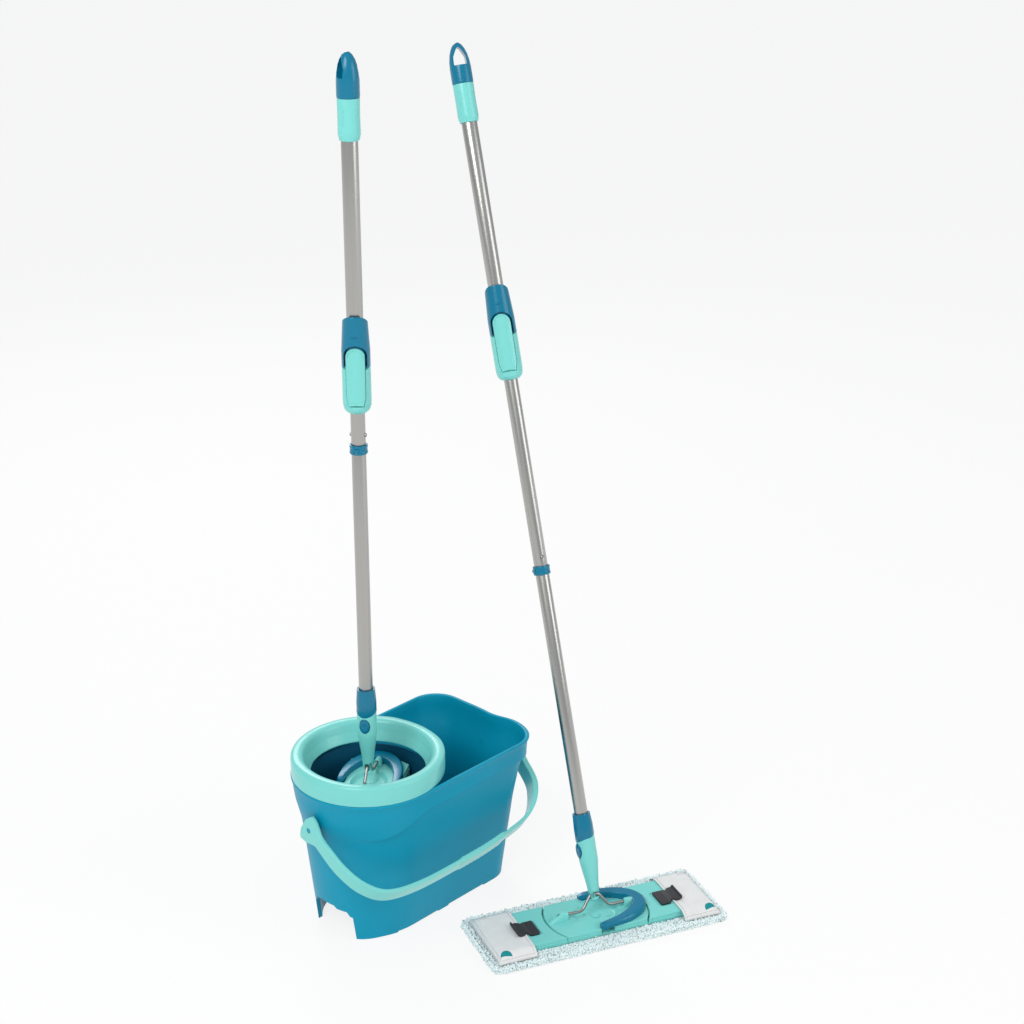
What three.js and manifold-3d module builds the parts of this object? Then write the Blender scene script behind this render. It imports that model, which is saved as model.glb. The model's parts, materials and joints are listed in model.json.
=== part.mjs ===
// Spin mop set: an oval bucket with a spin basket under a collar, one mop standing folded in the
// basket, and one mop open on the floor with its pad. Units are millimetres and +Z is up.
// The working frame has the basket's axis at x = y = 0 and the floor at z = 0. The last lines
// shift the whole group so that its origin is the centre of its footprint.
import * as THREE from "three";
import { mergeVertices } from "three/addons/utils/BufferGeometryUtils.js";
import Module from "manifold-3d";

const wasm = await Module();
wasm.setup();

// ---- Driving dimensions ----
const GAP = 0.3; // between pieces that rest on or run past each other

// Mop head
const PAD_THICK = 8.7;
const PLATE_Z = 9; // underside of the plate above the floor
const PLATE_THICK = 12;
const PLATE_HALF_WIDTH = 50;
const DISC_RADIUS = 86; // the plate is this disc, cut at its two long sides
const WING_TIP = 184;
const WING_CORNER = 8;
const WING_SEAM = 1.2; // round seam between plate and wing, wide enough for the wing to swing down
const HINGE_X = 66; // wing axes
const HINGE_Z = 12;
const PIN_RADIUS = 1.5;
const KNUCKLE_Y = 25;
const KNUCKLE_WIDTH = 12;
const KNUCKLE_RADIUS = 3;
const WING_FOLD = 93; // degrees that a hanging wing has dropped
const YOKE_Z = 30; // axis of the wire yoke in its clips
const EYE_RISE = 22; // the socket's eye above that axis
const WIRE_RADIUS = 2.5;
const EYE_PLAY = 3.4; // room round the wire for the pole to tilt on it
const CLIP_X = 52;
const CLIP_LENGTH = 12;
const LOOP_REACH = 85;
const LOOP_SPREAD = 53;
const LOOP_BAND = 14;
const LOOP_HEIGHT = 10;
const LATCH_X = 108;
const LATCH_SIZE = 38;
const LATCH_THICK = 4;
const POCKET_X = 130; // inner edge of the pad's pockets
const POCKET_THICK = 2;
const PAD_HALF_LENGTH = 206;
const PAD_HALF_WIDTH = 80;

// Basket, which clears the folded wings: their plates turn outwards
const BASKET_TOP_Z = 256;
const BASKET_TAPER = 9.5;
const BASKET_FOOT_Z = 79;
const BASKET_WALL = 2;
const BASKET_ROOM = 3.861; // round the folded wings
const SPINDLE_RADIUS = 5;
const POST_RADIUS = 15; // the folded head sits on this post
const FIN_DEPTH = 17;
const WING_SWEEP = Math.hypot(HINGE_X + PLATE_Z + PLATE_THICK - HINGE_Z, PLATE_HALF_WIDTH);
const BASKET_TOP_RADIUS = WING_SWEEP + BASKET_ROOM + BASKET_WALL; // outside
const BASKET_FOOT_RADIUS = BASKET_TOP_RADIUS - BASKET_TAPER;

// Bucket
const RIM_Z = 262; // height of the tank's rim
const RIM_ROOM = 26; // between the basket and the round end of the rim
const RIM_RADIUS = BASKET_TOP_RADIUS + RIM_ROOM;
const RIM_REACH = 275; // far end of the rim from the basket's axis
const RIM_CORNER = 48; // corner radius at the far end
const BAND_Z = 228; // lower edge of the raised band below the rim
const WAIST_Z = 190; // where the bulge below the collar has faded into the wall
const FOOT_DRAW_LENGTH = 65; // how much smaller the outline is than the rim, at the floor
const FOOT_DRAW_WIDTH = 76;
const WAIST_DRAW_LENGTH = 29;
const WAIST_DRAW_WIDTH = 32;
const BAND_DRAW_LENGTH = 6;
const BAND_DRAW_WIDTH = 8;
const TANK_WALL = 3;
const TANK_FLOOR_Z = 66; // the tank's floor stands on an open skirt
const ARCH_WIDTH = 90; // opening in the skirt's round end
const ARCH_HEIGHT = 60;
const PIVOT_Z = 205; // axis of the carrying bail
const PIVOT_RADIUS = 4;
const RIM_LENGTH = RIM_REACH + RIM_RADIUS;
const RIM_WIDTH = 2 * RIM_RADIUS;
const FOOT_LENGTH = RIM_LENGTH - FOOT_DRAW_LENGTH;

// Collar
const COLLAR_HEIGHT = 33;
const COLLAR_RADIUS = RIM_RADIUS + 1;
const COLLAR_WALL = 3;
const COLLAR_LAP = 4; // how far the collar covers the basket's lip
const COLLAR_HOLE = BASKET_TOP_RADIUS - COLLAR_LAP;

// Bail
const BAIL_DROP = 32.4; // degrees below level when it hangs on its stop
const BAIL_REACH = 165;
const BAIL_LEFT = RIM_RADIUS + 6; // centre planes of the two arms
const BAIL_RIGHT = RIM_REACH + 9;
const BAIL_WIDTH = 26;
const BAIL_THICK = 6;
const LUG_RADIUS = 17;

// Pole
const TUBE_RADIUS = 11;
const TUBE_WALL = 1;
const TUBE_SLIP = 0.4; // between the middle tube and the upper tube
const UPPER_RADIUS = TUBE_RADIUS + TUBE_WALL + TUBE_SLIP;
const SOCKET_RADIUS = TUBE_RADIUS + 4.5;
const SOCKET_TOP = 96; // above the eye
const SLEEVE_TOP = 136;
const SEAT_Z = 55; // where the foot tube bottoms in the socket
const BUTTON_Z = 76;
const BUTTON_WIDTH = 17;
const BUTTON_HEIGHT = 25;
const BUTTON_PROUD = 1.2;
const RING_Z = 530;
const RING_HEIGHT = 14;
const RING_RADIUS = TUBE_RADIUS + 3;
const NECK_LENGTH = 54; // the foot tube's reduced end, inside the middle tube
const SNAP_RISE = 15; // snap buttons above the ring
const SNAP_RADIUS = 3;
const SNAP_PROUD = 2.2;
const MIDDLE_TOP = 964;
const PUSHED_IN_RISE = 65; // from the ring to the clamp of a mop that is pushed in
const DRAWN_OUT_LAP = 120; // middle tube left in the handle of a mop that is drawn out
const NUT_HEIGHT = 24;
const ROD_WIDTH = 8;
const ROD_THICK = 3;
const ROD_PITCH = 120;
const NUT_PLAY = 1; // between the strip and its slot

// Handle, measured from the clamp's lower end
const CLAMP_HEIGHT = 150;
const CLAMP_BORE = UPPER_RADIUS + 2.2;
const CLAMP_RADIUS = CLAMP_BORE + 6.9;
const CLAMP_TOP_RADIUS = UPPER_RADIUS + 5.6;
const CLAMP_SPLIT = 84;
const LEVER_WIDTH = 28;
const LEVER_BOTTOM = 14;
const LEVER_TOP = 104;
const LEVER_THICK = 3;
const LEVER_PROUD = 1.4;
const BUSH_HEIGHT = 14;
const GRIP_Z = 405;
const GRIP_HEIGHT = 60;
const GRIP_RADIUS = UPPER_RADIUS + 4.1;
const CAP_HEIGHT = 64;
const EYE_WIDTH = 17;
const EYE_HEIGHT = 26;
const EYE_THICK = 12;

// The two mops: where they stand, and how they are set
const BASKET_MOP = {
  prefix: "basket_", x: 0, y: 0, z: 217, yaw: 30.9, fold: WING_FOLD,
  yokeTilt: 0, socketTilt: 0, clampZ: RING_Z + PUSHED_IN_RISE, handleYaw: -78, capYaw: 90,
};
const FLOOR_MOP = {
  prefix: "floor_", x: 217, y: -297, z: 0, yaw: -24.9, fold: 0,
  yokeTilt: -18, socketTilt: -2.6, clampZ: MIDDLE_TOP - DRAWN_OUT_LAP, handleYaw: -22, capYaw: 0,
};

// ---- Materials ----
const paint = (hex, roughness, metalness = 0) =>
  new THREE.MeshStandardMaterial({ color: hex, roughness, metalness });
const deepTeal = paint(0x007593, 0.45);
const tankBlue = paint(0x0088ad, 0.5);
const paleTeal = paint(0x7fd9d3, 0.4);
const steel = paint(0xa0a09e, 0.3, 1);
const wireGrey = paint(0x8a8886, 0.35, 1);
const basketBlue = paint(0x0b4a63, 0.5);
const latchBlack = paint(0x2b2a2e, 0.6);
const fringeAqua = paint(0xcfe9ea, 0.95);
const boneNylon = paint(0xd8d8d4, 0.5);

// ---- Solids ----
const rad = THREE.MathUtils.degToRad;

function solid(geometry) {
  const plain = geometry.index ? geometry.toNonIndexed() : geometry.clone();
  plain.deleteAttribute("normal");
  plain.deleteAttribute("uv");
  const merged = mergeVertices(plain, 1e-4);
  return new wasm.Manifold(new wasm.Mesh({
    numProp: 3,
    vertProperties: new Float32Array(merged.attributes.position.array),
    triVerts: new Uint32Array(merged.index.array),
  }));
}

function geometryOf(made) {
  const m = made.getMesh();
  const g = new THREE.BufferGeometry();
  g.setAttribute("position", new THREE.BufferAttribute(new Float32Array(m.vertProperties), 3));
  g.setIndex(new THREE.BufferAttribute(new Uint32Array(m.triVerts), 1));
  g.computeVertexNormals();
  return g;
}

function node(name, made, material) {
  const mesh = new THREE.Mesh(geometryOf(made), material);
  mesh.name = name;
  return mesh;
}

// A box from its lowest to its highest corner.
function block(low, high) {
  const g = new THREE.BoxGeometry(high[0] - low[0], high[1] - low[1], high[2] - low[2]);
  return solid(g.translate((low[0] + high[0]) / 2, (low[1] + high[1]) / 2, (low[2] + high[2]) / 2));
}

// A cylinder along an axis, from one place to another on it.
function rod(axis, radius, from, to, centre = [0, 0, 0], sides = 20) {
  const g = new THREE.CylinderGeometry(radius, radius, to - from, sides).translate(0, (from + to) / 2, 0);
  if (axis === "x") g.rotateZ(-Math.PI / 2);
  if (axis === "z") g.rotateX(Math.PI / 2);
  return solid(g.translate(...centre));
}

// A closed profile of [radius, height] points turned about Z.
function turned(profile, sides = 32) {
  const points = [...profile, profile[0]].map(([r, z]) => new THREE.Vector2(r, z));
  return solid(new THREE.LatheGeometry(points, sides).rotateX(Math.PI / 2));
}

// A flat outline in XY, extruded from z = from to z = to.
function slab(shape, from, to, curveSegments = 12, steps = 1) {
  const depth = to - from;
  const g = new THREE.ExtrudeGeometry(shape, { depth, bevelEnabled: false, curveSegments, steps });
  return g.translate(0, 0, from);
}

function roundedBox(left, right, halfWidth, corner) {
  const s = new THREE.Shape();
  s.moveTo(left, -halfWidth);
  s.lineTo(right - corner, -halfWidth);
  s.absarc(right - corner, -halfWidth + corner, corner, -Math.PI / 2, 0);
  s.absarc(right - corner, halfWidth - corner, corner, 0, Math.PI / 2);
  s.lineTo(left, halfWidth);
  return s;
}

// ---- Bucket ----
const LENGTHS = [[0, FOOT_LENGTH], [WAIST_Z, RIM_LENGTH - WAIST_DRAW_LENGTH],
  [BAND_Z, RIM_LENGTH - BAND_DRAW_LENGTH], [RIM_Z, RIM_LENGTH]];
const WIDTHS = [[0, RIM_WIDTH - FOOT_DRAW_WIDTH], [WAIST_Z, RIM_WIDTH - WAIST_DRAW_WIDTH],
  [BAND_Z, RIM_WIDTH - BAND_DRAW_WIDTH], [RIM_Z, RIM_WIDTH]];
const MID_X = (RIM_REACH - RIM_RADIUS) / 2;

function between(table, z) {
  const i = Math.max(1, table.findIndex(([level]) => level >= Math.min(z, RIM_Z)));
  const [lowZ, low] = table[i - 1];
  const [highZ, high] = table[i];
  return low + ((high - low) * (Math.min(z, RIM_Z) - lowZ)) / (highZ - lowZ);
}

function rimOutline() {
  const s = new THREE.Shape();
  s.absarc(0, 0, RIM_RADIUS, Math.PI / 2, (3 * Math.PI) / 2);
  s.absarc(RIM_REACH - RIM_CORNER, -RIM_RADIUS + RIM_CORNER, RIM_CORNER, -Math.PI / 2, 0);
  s.absarc(RIM_REACH - RIM_CORNER, RIM_RADIUS - RIM_CORNER, RIM_CORNER, 0, Math.PI / 2);
  return s;
}

// The tank's outline between two levels, drawn in by inset on every side.
function tankCore(inset, from, to, steps) {
  const g = slab(rimOutline(), from, to, 9, steps);
  const p = g.attributes.position;
  for (let i = 0; i < p.count; i++) {
    const z = p.getZ(i);
    const length = between(LENGTHS, z) / RIM_LENGTH;
    const width = between(WIDTHS, z) / RIM_WIDTH;
    const x = (p.getX(i) - MID_X) * (length - (2 * inset) / RIM_LENGTH);
    p.setXYZ(i, MID_X + x, p.getY(i) * (width - inset / RIM_RADIUS), z);
  }
  return solid(g);
}

function tankStack(inset, levels) {
  return levels.slice(1).reduce((all, top, i) => {
    const piece = tankCore(inset, levels[i], top, 1);
    return all ? all.add(piece) : piece;
  }, null);
}

function archCut() {
  const s = new THREE.Shape();
  const half = ARCH_WIDTH / 2;
  const corner = 22;
  s.moveTo(-half, -1);
  s.lineTo(half, -1);
  s.absarc(half - corner, ARCH_HEIGHT - corner, corner, 0, Math.PI / 2);
  s.absarc(-half + corner, ARCH_HEIGHT - corner, corner, Math.PI / 2, Math.PI);
  const g = slab(s, -30, 30, 6).rotateX(Math.PI / 2).rotateZ(Math.PI / 2);
  return solid(g.translate(MID_X - FOOT_LENGTH / 2, 0, 0));
}

function pivotPins() {
  const left = rod("x", PIVOT_RADIUS, -BAIL_LEFT - BAIL_THICK / 2 - 1, -RIM_RADIUS + 14, [0, 0, PIVOT_Z]);
  const right = rod("x", PIVOT_RADIUS, RIM_REACH - 10, BAIL_RIGHT + BAIL_THICK / 2 + 1, [0, 0, PIVOT_Z]);
  return left.add(right);
}

function spindleSeat() {
  return rod("z", SPINDLE_RADIUS + 6, TANK_FLOOR_Z - 6, TANK_FLOOR_Z + 1)
    .subtract(rod("z", SPINDLE_RADIUS - 1.5 + GAP, TANK_FLOOR_Z - 7, TANK_FLOOR_Z + 4));
}

function tank() {
  const outer = tankStack(0, [0, WAIST_Z, BAND_Z, RIM_Z]);
  const floorTop = TANK_FLOOR_Z + TANK_WALL;
  const hollow = tankStack(TANK_WALL, [floorTop, WAIST_Z, BAND_Z, RIM_Z, RIM_Z + 5]);
  const skirt = tankStack(TANK_WALL, [-1, TANK_FLOOR_Z]);
  const seatHole = rod("z", SPINDLE_RADIUS - 1.5 + GAP, TANK_FLOOR_Z - 7, floorTop + 1);
  return outer.subtract(hollow).subtract(skirt).subtract(archCut())
    .add(pivotPins()).add(spindleSeat()).subtract(seatHole);
}

function collar() {
  const z = RIM_Z + GAP;
  const top = z + COLLAR_HEIGHT;
  const r = COLLAR_RADIUS;
  const t = COLLAR_WALL;
  return turned([
    [r, z], [r, top - 9], [r - 3, top - 3], [r - 10, top], [r - 17, top - 3], [COLLAR_HOLE + 2, z + 7],
    [COLLAR_HOLE, z], [COLLAR_HOLE + t, z], [COLLAR_HOLE + 2 + t, z + 6], [r - 16, top - 3 - t],
    [r - 10, top - t], [r - 5, top - t - 2], [r - t, top - 9 - t], [r - t, z],
  ], 40);
}

function basketRadius(z) {
  const share = (z - BASKET_FOOT_Z) / (BASKET_TOP_Z - BASKET_FOOT_Z);
  return BASKET_FOOT_RADIUS + (BASKET_TOP_RADIUS - BASKET_FOOT_RADIUS) * share;
}

function basketFin(side) {
  const outer = basketRadius(BASKET_FOOT_Z) - BASKET_WALL / 2;
  const low = [-1.5, outer - FIN_DEPTH, BASKET_FOOT_Z - 1];
  const fin = block(low, [1.5, outer, BASKET_MOP.z + PLATE_Z]);
  return fin.rotate([0, 0, 90 - 90 * side]);
}

function basket() {
  const top = BASKET_MOP.z + PLATE_Z - GAP;
  const z = BASKET_FOOT_Z;
  const w = BASKET_WALL;
  const lip = BASKET_TOP_RADIUS;
  const bore = SPINDLE_RADIUS + GAP;
  const shell = turned([
    [bore, z - 7], [SPINDLE_RADIUS + 5, z - 7], [SPINDLE_RADIUS + 5, z - w], [BASKET_FOOT_RADIUS, z - w],
    [lip, BASKET_TOP_Z], [lip - w, BASKET_TOP_Z], [BASKET_FOOT_RADIUS - w, z], [POST_RADIUS + 14, z],
    [POST_RADIUS, z + 40], [POST_RADIUS - 2, top], [0, top], [0, z + 24], [bore, z + 20],
  ], 40);
  return shell.add(basketFin(1)).add(basketFin(-1)).rotate([0, 0, BASKET_MOP.yaw]);
}

function spindle() {
  const seat = TANK_FLOOR_Z - 5;
  const shoulder = TANK_FLOOR_Z + TANK_WALL + GAP;
  return turned([
    [0, seat], [SPINDLE_RADIUS - 1.5, seat], [SPINDLE_RADIUS - 1.5, shoulder],
    [SPINDLE_RADIUS + 4, shoulder], [SPINDLE_RADIUS + 4, shoulder + 2], [SPINDLE_RADIUS, shoulder + 2],
    [SPINDLE_RADIUS, BASKET_FOOT_Z + 18], [0, BASKET_FOOT_Z + 18],
  ], 20);
}

function bailPath() {
  const reach = BAIL_REACH;
  return new THREE.CatmullRomCurve3([
    [-BAIL_LEFT, 8], [-BAIL_LEFT - 1, reach * 0.5], [-BAIL_LEFT + 12, reach * 0.75],
    [-BAIL_LEFT + 40, reach * 0.94], [-BAIL_LEFT + 100, reach], [BAIL_RIGHT - 140, reach],
    [BAIL_RIGHT - 50, reach * 0.93], [BAIL_RIGHT - 1, reach * 0.68], [BAIL_RIGHT + 10, reach * 0.4],
    [BAIL_RIGHT, 8],
  ].map(([x, y]) => new THREE.Vector3(x, y, 0)), false, "catmullrom", 0.5);
}

function bandSection(across, along) {
  const s = new THREE.Shape();
  s.moveTo(-across / 2, -along / 2);
  s.lineTo(across / 2, -along / 2);
  s.lineTo(across / 2, along / 2);
  s.lineTo(-across / 2, along / 2);
  return s;
}

function bail() {
  const band = solid(new THREE.ExtrudeGeometry(bandSection(BAIL_WIDTH, BAIL_THICK),
    { extrudePath: bailPath(), steps: 32, bevelEnabled: false }));
  const half = BAIL_THICK / 2;
  const lugs = rod("x", LUG_RADIUS, -BAIL_LEFT - half, -BAIL_LEFT + half, [0, 0, 0], 28)
    .add(rod("x", LUG_RADIUS, BAIL_RIGHT - half, BAIL_RIGHT + half, [0, 0, 0], 28));
  const bore = rod("x", PIVOT_RADIUS + GAP, -BAIL_LEFT - 20, BAIL_RIGHT + 20);
  return band.add(lugs).subtract(bore).rotate([180 + BAIL_DROP, 0, 0]).translate([0, 0, PIVOT_Z]);
}

// ---- Mop head, in its own frame: floor at z = 0, wings along +-X ----
const PLATE_TOP = PLATE_Z + PLATE_THICK;
const CHORD = Math.sqrt(DISC_RADIUS ** 2 - PLATE_HALF_WIDTH ** 2);
const mirrored = (made, side) => (side > 0 ? made : made.rotate([0, 0, 180]));

function discOutline() {
  const s = new THREE.Shape();
  const a = Math.asin(PLATE_HALF_WIDTH / DISC_RADIUS);
  s.absarc(0, 0, DISC_RADIUS, -a, a);
  s.absarc(0, 0, DISC_RADIUS, Math.PI - a, Math.PI + a);
  return s;
}

function knuckle(y, clearance) {
  const r = KNUCKLE_RADIUS + clearance;
  const half = KNUCKLE_WIDTH / 2 + (clearance ? GAP : 0);
  const low = HINGE_Z - (clearance ? 8 : KNUCKLE_RADIUS);
  const high = HINGE_Z + KNUCKLE_RADIUS + clearance;
  const arm = block([HINGE_X, y - half, low], [DISC_RADIUS + 4, y + half, high]);
  const round = rod("y", r, y - half, y + half, [HINGE_X, 0, HINGE_Z], 16);
  const below = clearance ? block([HINGE_X - r, y - half, low], [HINGE_X + 1, y + half, HINGE_Z]) : round;
  return arm.add(round).add(below);
}

function pinHole(side) {
  const reach = PLATE_HALF_WIDTH + 1;
  return rod("y", PIN_RADIUS + GAP, -reach, reach, [side * HINGE_X, 0, HINGE_Z], 12);
}

function clip(side) {
  const low = [side > 0 ? CLIP_X : -CLIP_X - CLIP_LENGTH, -6, PLATE_TOP - 1];
  const high = [low[0] + CLIP_LENGTH, 6, YOKE_Z];
  const crown = rod("x", 6, low[0], high[0], [0, 0, YOKE_Z], 16);
  return block(low, high).add(crown)
    .subtract(rod("x", WIRE_RADIUS + GAP, low[0] - 1, high[0] + 1, [0, 0, YOKE_Z], 12));
}

function loopPocket(side) {
  const y = side * (LOOP_SPREAD - LOOP_BAND / 2);
  return block([-11, y - LOOP_BAND / 2 - 1, PLATE_Z + 3], [11, y + LOOP_BAND / 2 + 1, PLATE_TOP + 1]);
}

function headPlate() {
  const cup = turned([[0, PLATE_Z + 4], [28, PLATE_Z + 4], [38, PLATE_TOP + 1], [0, PLATE_TOP + 1]], 24);
  let plate = solid(slab(discOutline(), PLATE_Z, PLATE_TOP, 9)).subtract(cup);
  for (const side of [-1, 1]) {
    for (const y of [-KNUCKLE_Y, KNUCKLE_Y]) plate = plate.subtract(mirrored(knuckle(y, 2.2), side));
    plate = plate.add(clip(side)).subtract(pinHole(side)).subtract(loopPocket(side));
  }
  return plate;
}

function wing(side) {
  const outline = roundedBox(CHORD - 4, WING_TIP, PLATE_HALF_WIDTH, WING_CORNER);
  const disc = rod("z", DISC_RADIUS + WING_SEAM, 0, PLATE_TOP + 10, [0, 0, 0], 54);
  const shy = block([0, -100, 0], [HINGE_X + KNUCKLE_RADIUS + 0.6, 100, 50]);
  let made = solid(slab(outline, PLATE_Z, PLATE_TOP, 4)).subtract(disc).subtract(shy);
  for (const y of [-KNUCKLE_Y, KNUCKLE_Y]) made = made.add(knuckle(y, 0));
  return mirrored(made.subtract(pinHole(1)), side);
}

function wingPin(side) {
  const reach = PLATE_HALF_WIDTH - 6;
  return rod("y", PIN_RADIUS, -reach, reach, [side * HINGE_X, 0, HINGE_Z], 12);
}

function loopOutline(reach, spread) {
  const s = new THREE.Shape();
  s.moveTo(-5, spread);
  s.lineTo(-5, spread - LOOP_BAND);
  s.absellipse(0, 0, reach - LOOP_BAND, spread - LOOP_BAND, Math.PI / 2, -Math.PI / 2, true);
  s.lineTo(-5, -spread + LOOP_BAND);
  s.lineTo(-5, -spread);
  s.absellipse(0, 0, reach, spread, -Math.PI / 2, Math.PI / 2, false);
  return s;
}

function liftLoop() {
  const low = PLATE_TOP + GAP;
  let made = solid(slab(loopOutline(LOOP_REACH, LOOP_SPREAD), low, low + LOOP_HEIGHT, 10));
  for (const side of [-1, 1]) {
    const y = side * (LOOP_SPREAD - LOOP_BAND / 2);
    const half = LOOP_BAND / 2 - 0.5;
    made = made.add(rod("y", 5, y - half, y + half, [0, 0, PLATE_TOP], 16));
  }
  return made;
}

function latch(side) {
  const low = PLATE_TOP + GAP;
  const raised = PLATE_TOP + GAP + POCKET_THICK + GAP + 0.4;
  const middle = LATCH_X + LATCH_SIZE / 2;
  const y0 = -LATCH_SIZE / 2 - 5;
  const y1 = LATCH_SIZE / 2 - 5;
  const inner = block([LATCH_X, y0, low], [middle + 1, y1, low + LATCH_THICK]);
  const outer = block([middle, y0, raised], [LATCH_X + LATCH_SIZE, y1, raised + LATCH_THICK]);
  const made = inner.add(outer);
  return side > 0 ? made : mirrored(made.translate([0, 10, 0]), side);
}

// ---- Pad ----
function padEnd(side) {
  const body = slab(roundedBox(WING_TIP - 60, PAD_HALF_LENGTH, PAD_HALF_WIDTH, 14), 0, PLATE_TOP + GAP
    + POCKET_THICK, 4);
  const inner = HINGE_X + KNUCKLE_RADIUS + 1;
  const under = block([inner, -PAD_HALF_WIDTH, 0], [WING_TIP - 50, PAD_HALF_WIDTH, PAD_THICK]);
  const room = block([inner, -PLATE_HALF_WIDTH - GAP, PAD_THICK],
    [WING_TIP + GAP, PLATE_HALF_WIDTH + GAP, PLATE_TOP + GAP]);
  const open = block([inner - 1, -PAD_HALF_WIDTH - 1, PAD_THICK], [POCKET_X, PAD_HALF_WIDTH + 1, 60]);
  const rim = PLATE_HALF_WIDTH + 12;
  const sides = [-1, 1].map((s) => block([POCKET_X - 1, s > 0 ? rim : -PAD_HALF_WIDTH - 1, PAD_THICK + 3],
    [PAD_HALF_LENGTH + 1, s > 0 ? PAD_HALF_WIDTH + 1 : -rim, 60]));
  const made = solid(body).add(under).subtract(room).subtract(open).subtract(sides[0]).subtract(sides[1]);
  return mirrored(made, side);
}

// The middle of the pad ends where a folded wing's pad swings to.
function padCentre() {
  const half = HINGE_X - HINGE_Z - 1;
  return block([-half, -PAD_HALF_WIDTH, 0], [half, PAD_HALF_WIDTH, PAD_THICK]);
}

// ---- Wire yoke, in the yoke's frame: its axis is X through the origin ----
function yokeWire() {
  const end = CLIP_X + CLIP_LENGTH - 1;
  const bend = 22;
  const flat = 8;
  const points = [[-end, 0], [-bend, 0], [-flat, EYE_RISE], [flat, EYE_RISE], [bend, 0], [end, 0]]
    .map(([x, z]) => new THREE.Vector3(x, 0, z));
  const smooth = new THREE.CatmullRomCurve3(points, false, "catmullrom", 0.12);
  const section = new THREE.Shape();
  section.absarc(0, 0, WIRE_RADIUS, 0, 2 * Math.PI);
  return solid(new THREE.ExtrudeGeometry(section,
    { extrudePath: smooth, steps: 24, bevelEnabled: false, curveSegments: 4 }));
}

// ---- Pole, in its own frame: the socket's eye at the origin, the pole along +Z ----
const tube = (outer, wall, from, to, sides = 18) =>
  turned([[outer, from], [outer, to], [outer - wall, to], [outer - wall, from]], sides);

function socketButton() {
  const inner = TUBE_RADIUS + 2;
  return ovalPlug(BUTTON_WIDTH / 2, BUTTON_HEIGHT / 2, inner, SOCKET_RADIUS + BUTTON_PROUD);
}

// An oval plug whose axis is -X, between two distances from the pole's axis.
function ovalPlug(halfWidth, halfHeight, from, to) {
  const s = new THREE.Shape();
  s.absellipse(0, 0, halfHeight, halfWidth, 0, 2 * Math.PI);
  const g = slab(s, from, to, 7).rotateY(-Math.PI / 2);
  return solid(g.translate(0, 0, BUTTON_Z));
}

function socketBody() {
  const bore = TUBE_RADIUS + GAP;
  const r = SOCKET_RADIUS;
  const body = turned([
    [0, -9], [5, -8.4], [8.6, -4], [9.2, 4], [10, 14], [r - 2, 36], [r, 52], [r, SOCKET_TOP],
    [bore, SOCKET_TOP], [bore, SEAT_Z], [0, SEAT_Z],
  ], 20);
  const eye = block([-20, -WIRE_RADIUS - EYE_PLAY / 4, -WIRE_RADIUS - EYE_PLAY],
    [20, WIRE_RADIUS + EYE_PLAY / 4, WIRE_RADIUS + EYE_PLAY]);
  const well = ovalPlug(BUTTON_WIDTH / 2 + GAP, BUTTON_HEIGHT / 2 + GAP, 0, SOCKET_RADIUS + 5);
  return body.subtract(eye).subtract(well);
}

function socketSleeve() {
  const bore = TUBE_RADIUS + GAP;
  return turned([[SOCKET_RADIUS, SOCKET_TOP + GAP], [SOCKET_RADIUS - 1.5, SLEEVE_TOP], [bore, SLEEVE_TOP],
    [bore, SOCKET_TOP + GAP]], 20);
}

const JOIN_Z = RING_Z + RING_HEIGHT / 2;
const SNAP_Z = RING_Z + RING_HEIGHT + SNAP_RISE;
const NECK_RADIUS = TUBE_RADIUS - TUBE_WALL - GAP;

function snapHoles() {
  return rod("y", SNAP_RADIUS + GAP, -20, 20, [0, 0, SNAP_Z], 8);
}

function footTube() {
  const low = SEAT_Z + GAP;
  const inner = TUBE_RADIUS - TUBE_WALL;
  const end = JOIN_Z + NECK_LENGTH;
  return turned([
    [TUBE_RADIUS, low], [TUBE_RADIUS, JOIN_Z], [NECK_RADIUS, JOIN_Z], [NECK_RADIUS, end],
    [NECK_RADIUS - TUBE_WALL, end], [NECK_RADIUS - TUBE_WALL, JOIN_Z - 8], [inner, JOIN_Z - 12],
    [inner, low],
  ], 18).subtract(snapHoles());
}

function middleTube() {
  return tube(TUBE_RADIUS, TUBE_WALL, JOIN_Z + GAP, MIDDLE_TOP).subtract(snapHoles());
}

function stopRing() {
  return tube(RING_RADIUS, RING_RADIUS - TUBE_RADIUS - GAP, RING_Z, RING_Z + RING_HEIGHT);
}

// A snap button with the leaf of its spring, which runs down the inside of the neck.
function snapButton(side) {
  const inside = NECK_RADIUS - TUBE_WALL - 4.2;
  const button = rod("y", SNAP_RADIUS, inside, TUBE_RADIUS + SNAP_PROUD, [0, 0, SNAP_Z], 8);
  const leaf = block([-3, inside - 1, SNAP_Z - 28], [3, inside + 0.2, SNAP_Z + 5]);
  const made = button.add(leaf);
  return side > 0 ? made : made.rotate([0, 0, 180]);
}

// The twisted strip, in the handle's frame, between two heights.
function twisted(width, thick, from, to) {
  const steps = Math.round((to - from) / (ROD_PITCH / 20));
  const g = new THREE.BoxGeometry(width, thick, to - from, 1, 1, steps).translate(0, 0, (from + to) / 2);
  const p = g.attributes.position;
  for (let i = 0; i < p.count; i++) {
    const angle = (2 * Math.PI * p.getZ(i)) / ROD_PITCH;
    const x = p.getX(i);
    const y = p.getY(i);
    p.setXY(i, x * Math.cos(angle) - y * Math.sin(angle), x * Math.sin(angle) + y * Math.cos(angle));
  }
  return solid(g);
}

const ROD_TOP = GRIP_Z + GRIP_HEIGHT - 4;
const ROD_BOTTOM = 64;

function twistRod() {
  const head = rod("z", UPPER_RADIUS - TUBE_WALL - GAP, ROD_TOP - 12, ROD_TOP, [0, 0, 0], 20);
  return twisted(ROD_WIDTH, ROD_THICK, ROD_BOTTOM, ROD_TOP - 6).add(head);
}

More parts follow.
